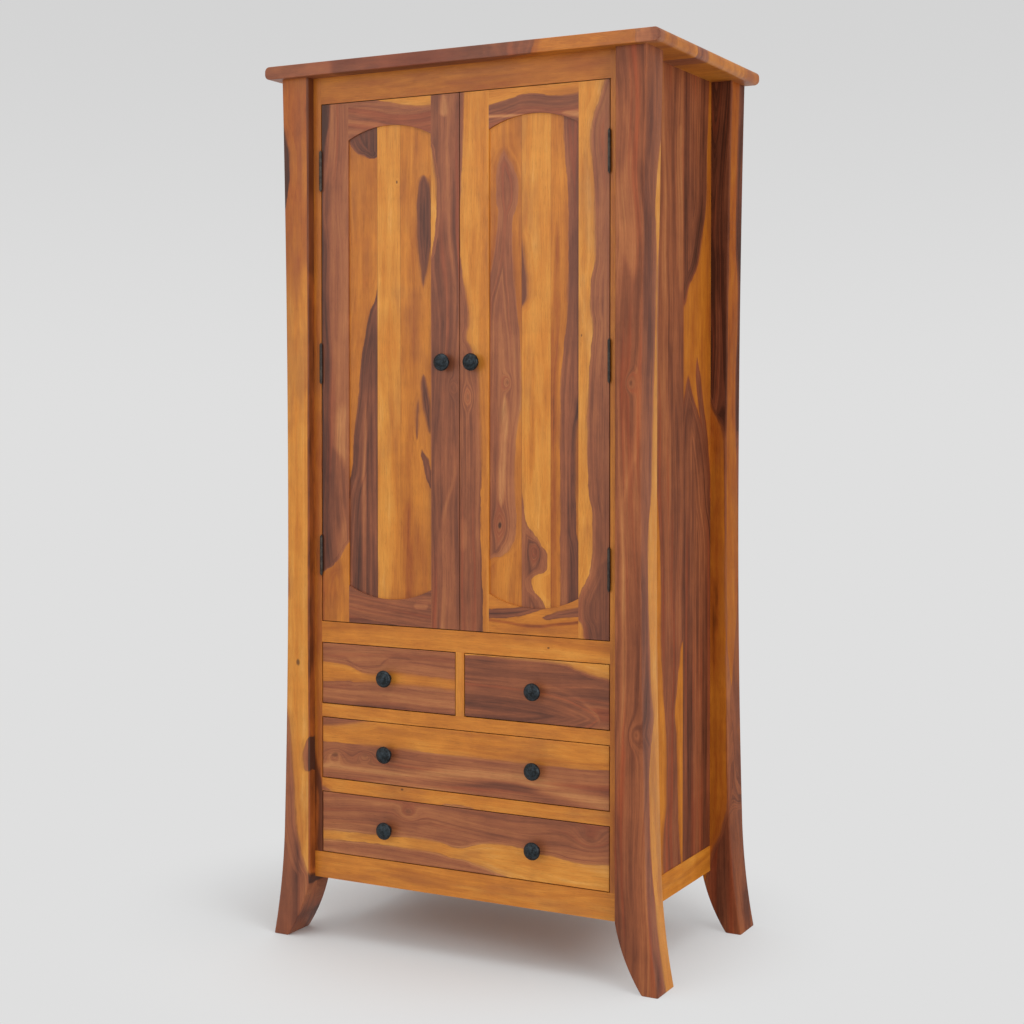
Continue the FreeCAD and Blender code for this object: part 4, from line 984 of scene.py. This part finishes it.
metals = {  # dark and light colour, least and most roughness, metalness, grain's fineness, bump
    "blackIron": (("2A2420", "4A423A"), (0.38, 0.60), 0.5, 260.0, 0.35),
    "knobIron": (("0A0D0F", "2A343A"), (0.30, 0.52), 0.55, 330.0, 0.6),
    "catchSteel": (("8F9296", "B9BCC0"), (0.25, 0.42), 1.0, 500.0, 0.1),
    "catchPlastic": (("3A2A20", "4B382B"), (0.45, 0.6), 0.0, 900.0, 0.1),
    "rodSteel": (("8A8378", "A79F92"), (0.3, 0.5), 1.0, 600.0, 0.1),
}
mottleLook = {"broadGrain": 0.3, "broad": 0.55, "fine": 0.45, "edge": (0.38, 0.62), "bumpDepth": 0.0006}


def makeMottle():
    # two noises, one broad and one fine, added by their shares into a colour, a roughness and a height
    graph, takes, gives = newGroup(
        "mottle",
        {"Vector": still, "Dark": "000000", "Light": "FFFFFF", "Grain": 300.0, "Rough Low": 0.3,
         "Rough High": 0.6},
        {"Color": "FFFFFF", "Roughness": 0.5, "Height": 0.0},
    )
    broad = graph.noise(takes["Vector"], graph.times(takes["Grain"], mottleLook["broadGrain"]), detail=2.0)
    fine = graph.noise(takes["Vector"], takes["Grain"], detail=3.0)
    both = graph.timesAdd(fine, mottleLook["fine"], graph.times(broad, mottleLook["broad"]))
    lightness = graph.ease(both, *mottleLook["edge"])
    graph.feed(gives["Color"], graph.mixColour(lightness, takes["Dark"], takes["Light"]))
    graph.feed(gives["Roughness"], graph.mixValue(both, takes["Rough Low"], takes["Rough High"]))
    graph.feed(gives["Height"], both)
    return graph.tree


mottle = makeMottle()


def metalMaterial(name):
    # a mottled surface between the metal's two colours and its two roughnesses
    colours, (low, high), metalness, fineness, strength = metals[name]
    material, graph = emptyMaterial(name)
    dark, light = (paint(colour) for colour in colours)
    out = graph.group(mottle, {"Vector": graph.objectPlace(), "Dark": dark, "Light": light,
                               "Grain": fineness, "Rough Low": low, "Rough High": high})
    bump = graph.node("ShaderNodeBump", {"Height": out["Height"], "Strength": strength,
                                         "Distance": mottleLook["bumpDepth"]})
    shader = graph.node("ShaderNodeBsdfPrincipled", {
        "Base Color": out["Color"], "Roughness": out["Roughness"], "Metallic": metalness,
        "Normal": bump.outputs["Normal"]})
    graph.finish("ShaderNodeOutputMaterial", shader)
    return material


metalNodes = {
    "blackIron": ["frame_hinge_leaves", "hinge_pins", "door_left_hinge_leaves", "door_right_hinge_leaves",
                  "door_left_knob", "door_right_knob", "drawer_upper_left_knob",
                  "drawer_upper_right_knob", "drawer_middle_knobs", "drawer_bottom_knobs"],
    "catchSteel": ["door_left_strike_plate", "door_right_strike_plate"],
    "catchPlastic": ["door_catch"],
    "rodSteel": ["rod_sockets"],
}
finishes = {name: metalMaterial(name) for name in metals}
for finish, names in metalNodes.items():
    for name in names:
        dress(name, finishes[finish])
print("metal dressed")


sharpAngle = 40     # degrees between faces past which an edge stays sharp


def makePiece(name, grids, material, body, stands):
    # each grid is (rows, columns, 3) and closes round its columns; the end rows are capped
    points, faces, start = [], [], 0
    for grid in grids:
        rows, columns = grid.shape[:2]
        index = start + np.arange(rows * columns).reshape(rows, columns)
        turned = np.roll(index, -1, axis=1)
        quads = np.stack([index[:-1], turned[:-1], turned[1:], index[1:]], axis=-1).reshape(-1, 4)
        faces += quads.tolist() + [index[0, ::-1].tolist(), index[-1].tolist()]
        points.append(grid.reshape(-1, 3))
        start += rows * columns
    mesh = bpy.data.meshes.new(name)
    mesh.from_pydata(np.concatenate(points).tolist(), [], faces)
    shape = bmesh.new()
    shape.from_mesh(mesh)
    bmesh.ops.recalc_face_normals(shape, faces=shape.faces)
    shape.to_mesh(mesh)
    shape.free()
    mesh.polygons.foreach_set("use_smooth", np.ones(len(mesh.polygons), dtype=bool))
    mesh.set_sharp_from_angle(angle=math.radians(sharpAngle))
    mesh.materials.append(material)
    piece = addToScene(name, mesh)
    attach(piece, body)
    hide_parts(*stands)


legShape = {    # metres; a bow is (centre out, centre up, radius)
    "arris": 0.0034,                                # radius of the rounded long edges
    "arrisSteps": 6,
    "upperBow": (42.405, 1.0, 42.3437),             # the outer line above the waist
    "lowerBow": (23.469, 1.0, 23.4077),             # from waist to ankle
    "footBow": (1.6458, 0.3097, 1.5736),            # below the ankle
    "sweep": (0.3773, 0.2213, 0.3840),              # the inner line of the foot
    "ankle": 0.260,
    "waist": 1.0,
    "sweepTop": 0.150,
    "soleRise": (0.0, 0.0006, 0.0018),              # the sole's rounded edge: how high, and how far in
    "soleTuck": (0.0014, 0.0005, 0.0),
    "footRings": (0.004, 0.30, 44),                 # lowest, highest and number of the rings
    "postRings": (0.33, 2.03, 52),
}


def bowAt(bow, height):
    # a bow's distance out at each height: centre - sqrt(radius squared - rise squared)
    out, up, radius = legShape[bow]
    return out - np.sqrt(radius ** 2 - (height - up) ** 2)


def makeLeg(name, material):
    # a rounded oblong carried up the leg, from the inner line to the outer line at each height
    low, high = (np.array(corner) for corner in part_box(name))
    side = 1.0 if low[0] > 0 else -1.0
    face = low[0] if side > 0 else -high[0]
    height = np.concatenate([legShape["soleRise"], np.linspace(*legShape["footRings"]),
                             np.linspace(*legShape["postRings"]), [high[2]]])
    lower = np.where(height > legShape["ankle"], bowAt("lowerBow", height), bowAt("footBow", height))
    outer = np.where(height > legShape["waist"], bowAt("upperBow", height), lower)
    sweepTop = legShape["sweepTop"]
    inner = np.where(height < sweepTop, bowAt("sweep", np.minimum(height, sweepTop)), 0.0)
    radius, steps = legShape["arris"], legShape["arrisSteps"]
    inset = radius + np.interp(height, legShape["soleRise"], legShape["soleTuck"])
    bend = np.linspace(0, np.pi / 2, steps)
    corners = []
    for quarter, (across, deep) in enumerate((
            (outer - inset, high[1] - inset), (inner + inset, high[1] - inset),
            (inner + inset, low[1] + inset), (outer - inset, low[1] + inset))):
        angle = bend + quarter * np.pi / 2
        corners.append(np.stack([
            side * (face + across[:, None] + radius * np.cos(angle)),
            deep[:, None] + radius * np.sin(angle),
            np.repeat(height[:, None], steps, axis=1)], axis=-1))
    makePiece(name + "_eased", [np.concatenate(corners, axis=1)], material, "case", [name])


for name in legWood:
    makeLeg(name, nodes[name].material_slots[0].material)
print("legs made")


knobShape = {   # millimetres
    # distance out from the face against radius
    "profile": [(0.0, 10.0), (1.6, 10.2), (3.0, 9.8), (4.4, 8.0), (6.4, 7.0), (9.6, 7.0), (11.6, 8.8),
                (13.6, 13.4), (14.8, 16.9), (16.2, 17.9), (18.4, 18.0), (20.6, 17.4), (23.2, 15.4),
                (25.6, 12.2), (27.6, 8.4), (29.0, 4.6), (29.7, 1.6), (29.8, 0.02)],
    "rings": 46,
    "sides": 48,
    "swell": 1.11,                  # the whole radius, times this
    "dents": 34,
    "dentDepth": 0.85,
    "dentWidth": 3.4,
    "dentReach": 16.6,              # radius that the outermost dent comes near
    "dentTurn": 2.39996,            # radians from one dent to the next, the golden angle
    "dome": (13, 4),                # the dents start at this distance out, and are full so much further
    "domeStations": 9,              # the profile's last stations, which are the dome
    "middle": (0.0, -17.0, 0.0),    # the point that the dents are pushed towards
    "turnStep": 0.9,                # radians by which each node's knobs are turned from the last
}


def softened(values):
    # each value between its neighbours, in shares of a quarter, a half and a quarter
    return np.convolve(values, [0.25, 0.5, 0.25], mode="valid")


def knobGrid(across, up, face, turn):
    # a profile spun about the knob's axis, then pushed in by bell-shaped dents, depth times
    # exp(-(distance / width) squared), that are spread in a spiral over the dome
    stations = np.array(knobShape["profile"])
    steps = np.concatenate([[0], np.cumsum(np.hypot(*np.diff(stations, axis=0).T))])
    fine = np.linspace(0, steps[-1], knobShape["rings"])
    out, radius = (np.interp(fine, steps, values) for values in stations.T)
    out = softened(np.pad(out, 1, mode="edge"))
    radius[1:-1] = softened(radius)
    radius = (radius * knobShape["swell"])[:, None]
    angle = np.linspace(0, 2 * np.pi, knobShape["sides"] + 1)[:-1] + turn
    rise = -np.repeat(out[:, None], len(angle), axis=1)
    place = np.stack([radius * np.cos(angle), rise, radius * np.sin(angle)], axis=-1)
    count = np.arange(knobShape["dents"])
    reach = knobShape["dentReach"] * np.sqrt((count + 0.5) / knobShape["dents"])
    spin = count * knobShape["dentTurn"] + turn * 3
    domeOut, domeRadius = stations[::-1][:knobShape["domeStations"]].T
    lift = np.interp(reach, domeRadius, domeOut)
    dents = np.stack([reach * np.cos(spin), -lift, reach * np.sin(spin)], axis=-1)
    near = np.linalg.norm(place[:, :, None, :] - dents[None, None], axis=-1)
    push = knobShape["dentDepth"] * np.exp(-(near / knobShape["dentWidth"]) ** 2).max(axis=2)
    domeStart, domeBlend = knobShape["dome"]
    push *= np.clip((out[:, None] - domeStart) / domeBlend, 0, 1)
    inward = np.array(knobShape["middle"]) - place
    inward /= np.maximum(np.linalg.norm(inward, axis=-1, keepdims=True), 1e-6)
    place = place + inward * push[:, :, None]
    return place / 1000 + np.array([across, face, up])


knobPlaces = {  # body, and on which side of the drawer's middle each knob sits
    "door_left_knob": ("door_left", [1]), "door_right_knob": ("door_right", [1]),
    "drawer_upper_left_knob": ("drawer_upper_left", [1]),
    "drawer_upper_right_knob": ("drawer_upper_right", [1]),
    "drawer_middle_knobs": ("drawer_middle", [-1, 1]), "drawer_bottom_knobs": ("drawer_bottom", [-1, 1]),
}
for number, (name, (body, sides)) in enumerate(knobPlaces.items()):
    low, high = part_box(name)
    half = (high[2] - low[2]) / 2
    middle = (low[0] + high[0]) / 2
    spread = 0.0 if len(sides) == 1 else (high[0] - low[0]) / 2 - half
    up, turn = (low[2] + high[2]) / 2, number * knobShape["turnStep"]
    grids = [knobGrid(middle + side * spread, up, high[1], turn + side) for side in sides]
    makePiece(name + "_beaten", grids, finishes["knobIron"], body, [name])
print("knobs made")


hingeShape = {  # metres
    "length": 0.091,
    "heights": (0.912, 1.365, 1.818),
    "radius": 0.0032,
    "pinRadius": 0.003,
    "knuckles": 5,
    "groove": 0.0005,               # half a groove's width
    "grooveFloor": 0.3,             # share of that width where the groove is deepest
    "grooveDepth": 0.0005,
    "collar": (0.0007, 0.0006),     # the barrel's rounded end: how long, and how deep
    "neck": (0.0004, 0.0016),       # how far past the end the neck starts, and the ball's middle is
    "neckRadius": 0.0016,
    "tipRadius": 0.0018,
    "tipSquash": 0.9,
    "tipLeast": 0.00002,
    "tipArc": (-1.1, 1.5, 9),       # the ball's first and last angle, and number of rings
    "sides": 24,
}


def barrelGrid(across, deep, middle):
    # a straight barrel with grooves between its knuckles, and at each end a short neck with a ball
    # whose rings are (sin b, cos b) times its radius; all of it is spun about the upright pin
    half, radius, groove = hingeShape["length"] / 2, hingeShape["radius"], hingeShape["groove"]
    floor, deepest = groove * hingeShape["grooveFloor"], radius - hingeShape["grooveDepth"]
    collarLong, collarDeep = hingeShape["collar"]
    neckStart, ballMiddle = hingeShape["neck"]
    profile = [(-half, radius - collarDeep), (-half + collarLong, radius)]
    for cut in np.linspace(-half, half, hingeShape["knuckles"] + 1)[1:-1]:
        profile += [(cut - groove, radius), (cut - floor, deepest)]
        profile += [(cut + floor, deepest), (cut + groove, radius)]
    profile += [(half - collarLong, radius), (half, radius - collarDeep)]
    tip, squash = hingeShape["tipRadius"], hingeShape["tipSquash"]
    top = [(half + neckStart, hingeShape["neckRadius"])]
    top += [(half + ballMiddle + tip * math.sin(b) * squash, max(tip * math.cos(b), hingeShape["tipLeast"]))
            for b in np.linspace(*hingeShape["tipArc"])]
    rise, size = np.array([(-rise, size) for rise, size in top[::-1]] + profile + top).T[:, :, None]
    angle = np.linspace(0, 2 * np.pi, hingeShape["sides"] + 1)[:-1]
    upright = np.repeat(middle + rise, len(angle), axis=1)
    return np.stack([across + size * np.cos(angle), deep + size * np.sin(angle), upright], axis=-1)


low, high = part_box("hinge_pins")
pivotOut = (high[0] - low[0]) / 2 - hingeShape["pinRadius"]
pivotDeep = (low[1] + high[1]) / 2
barrels = [barrelGrid(side * pivotOut, pivotDeep, middle)
           for side in (-1, 1) for middle in hingeShape["heights"]]
makePiece("hinge_barrels", barrels, finishes["blackIron"], "case", ["hinge_pins"])
print("hinges made")
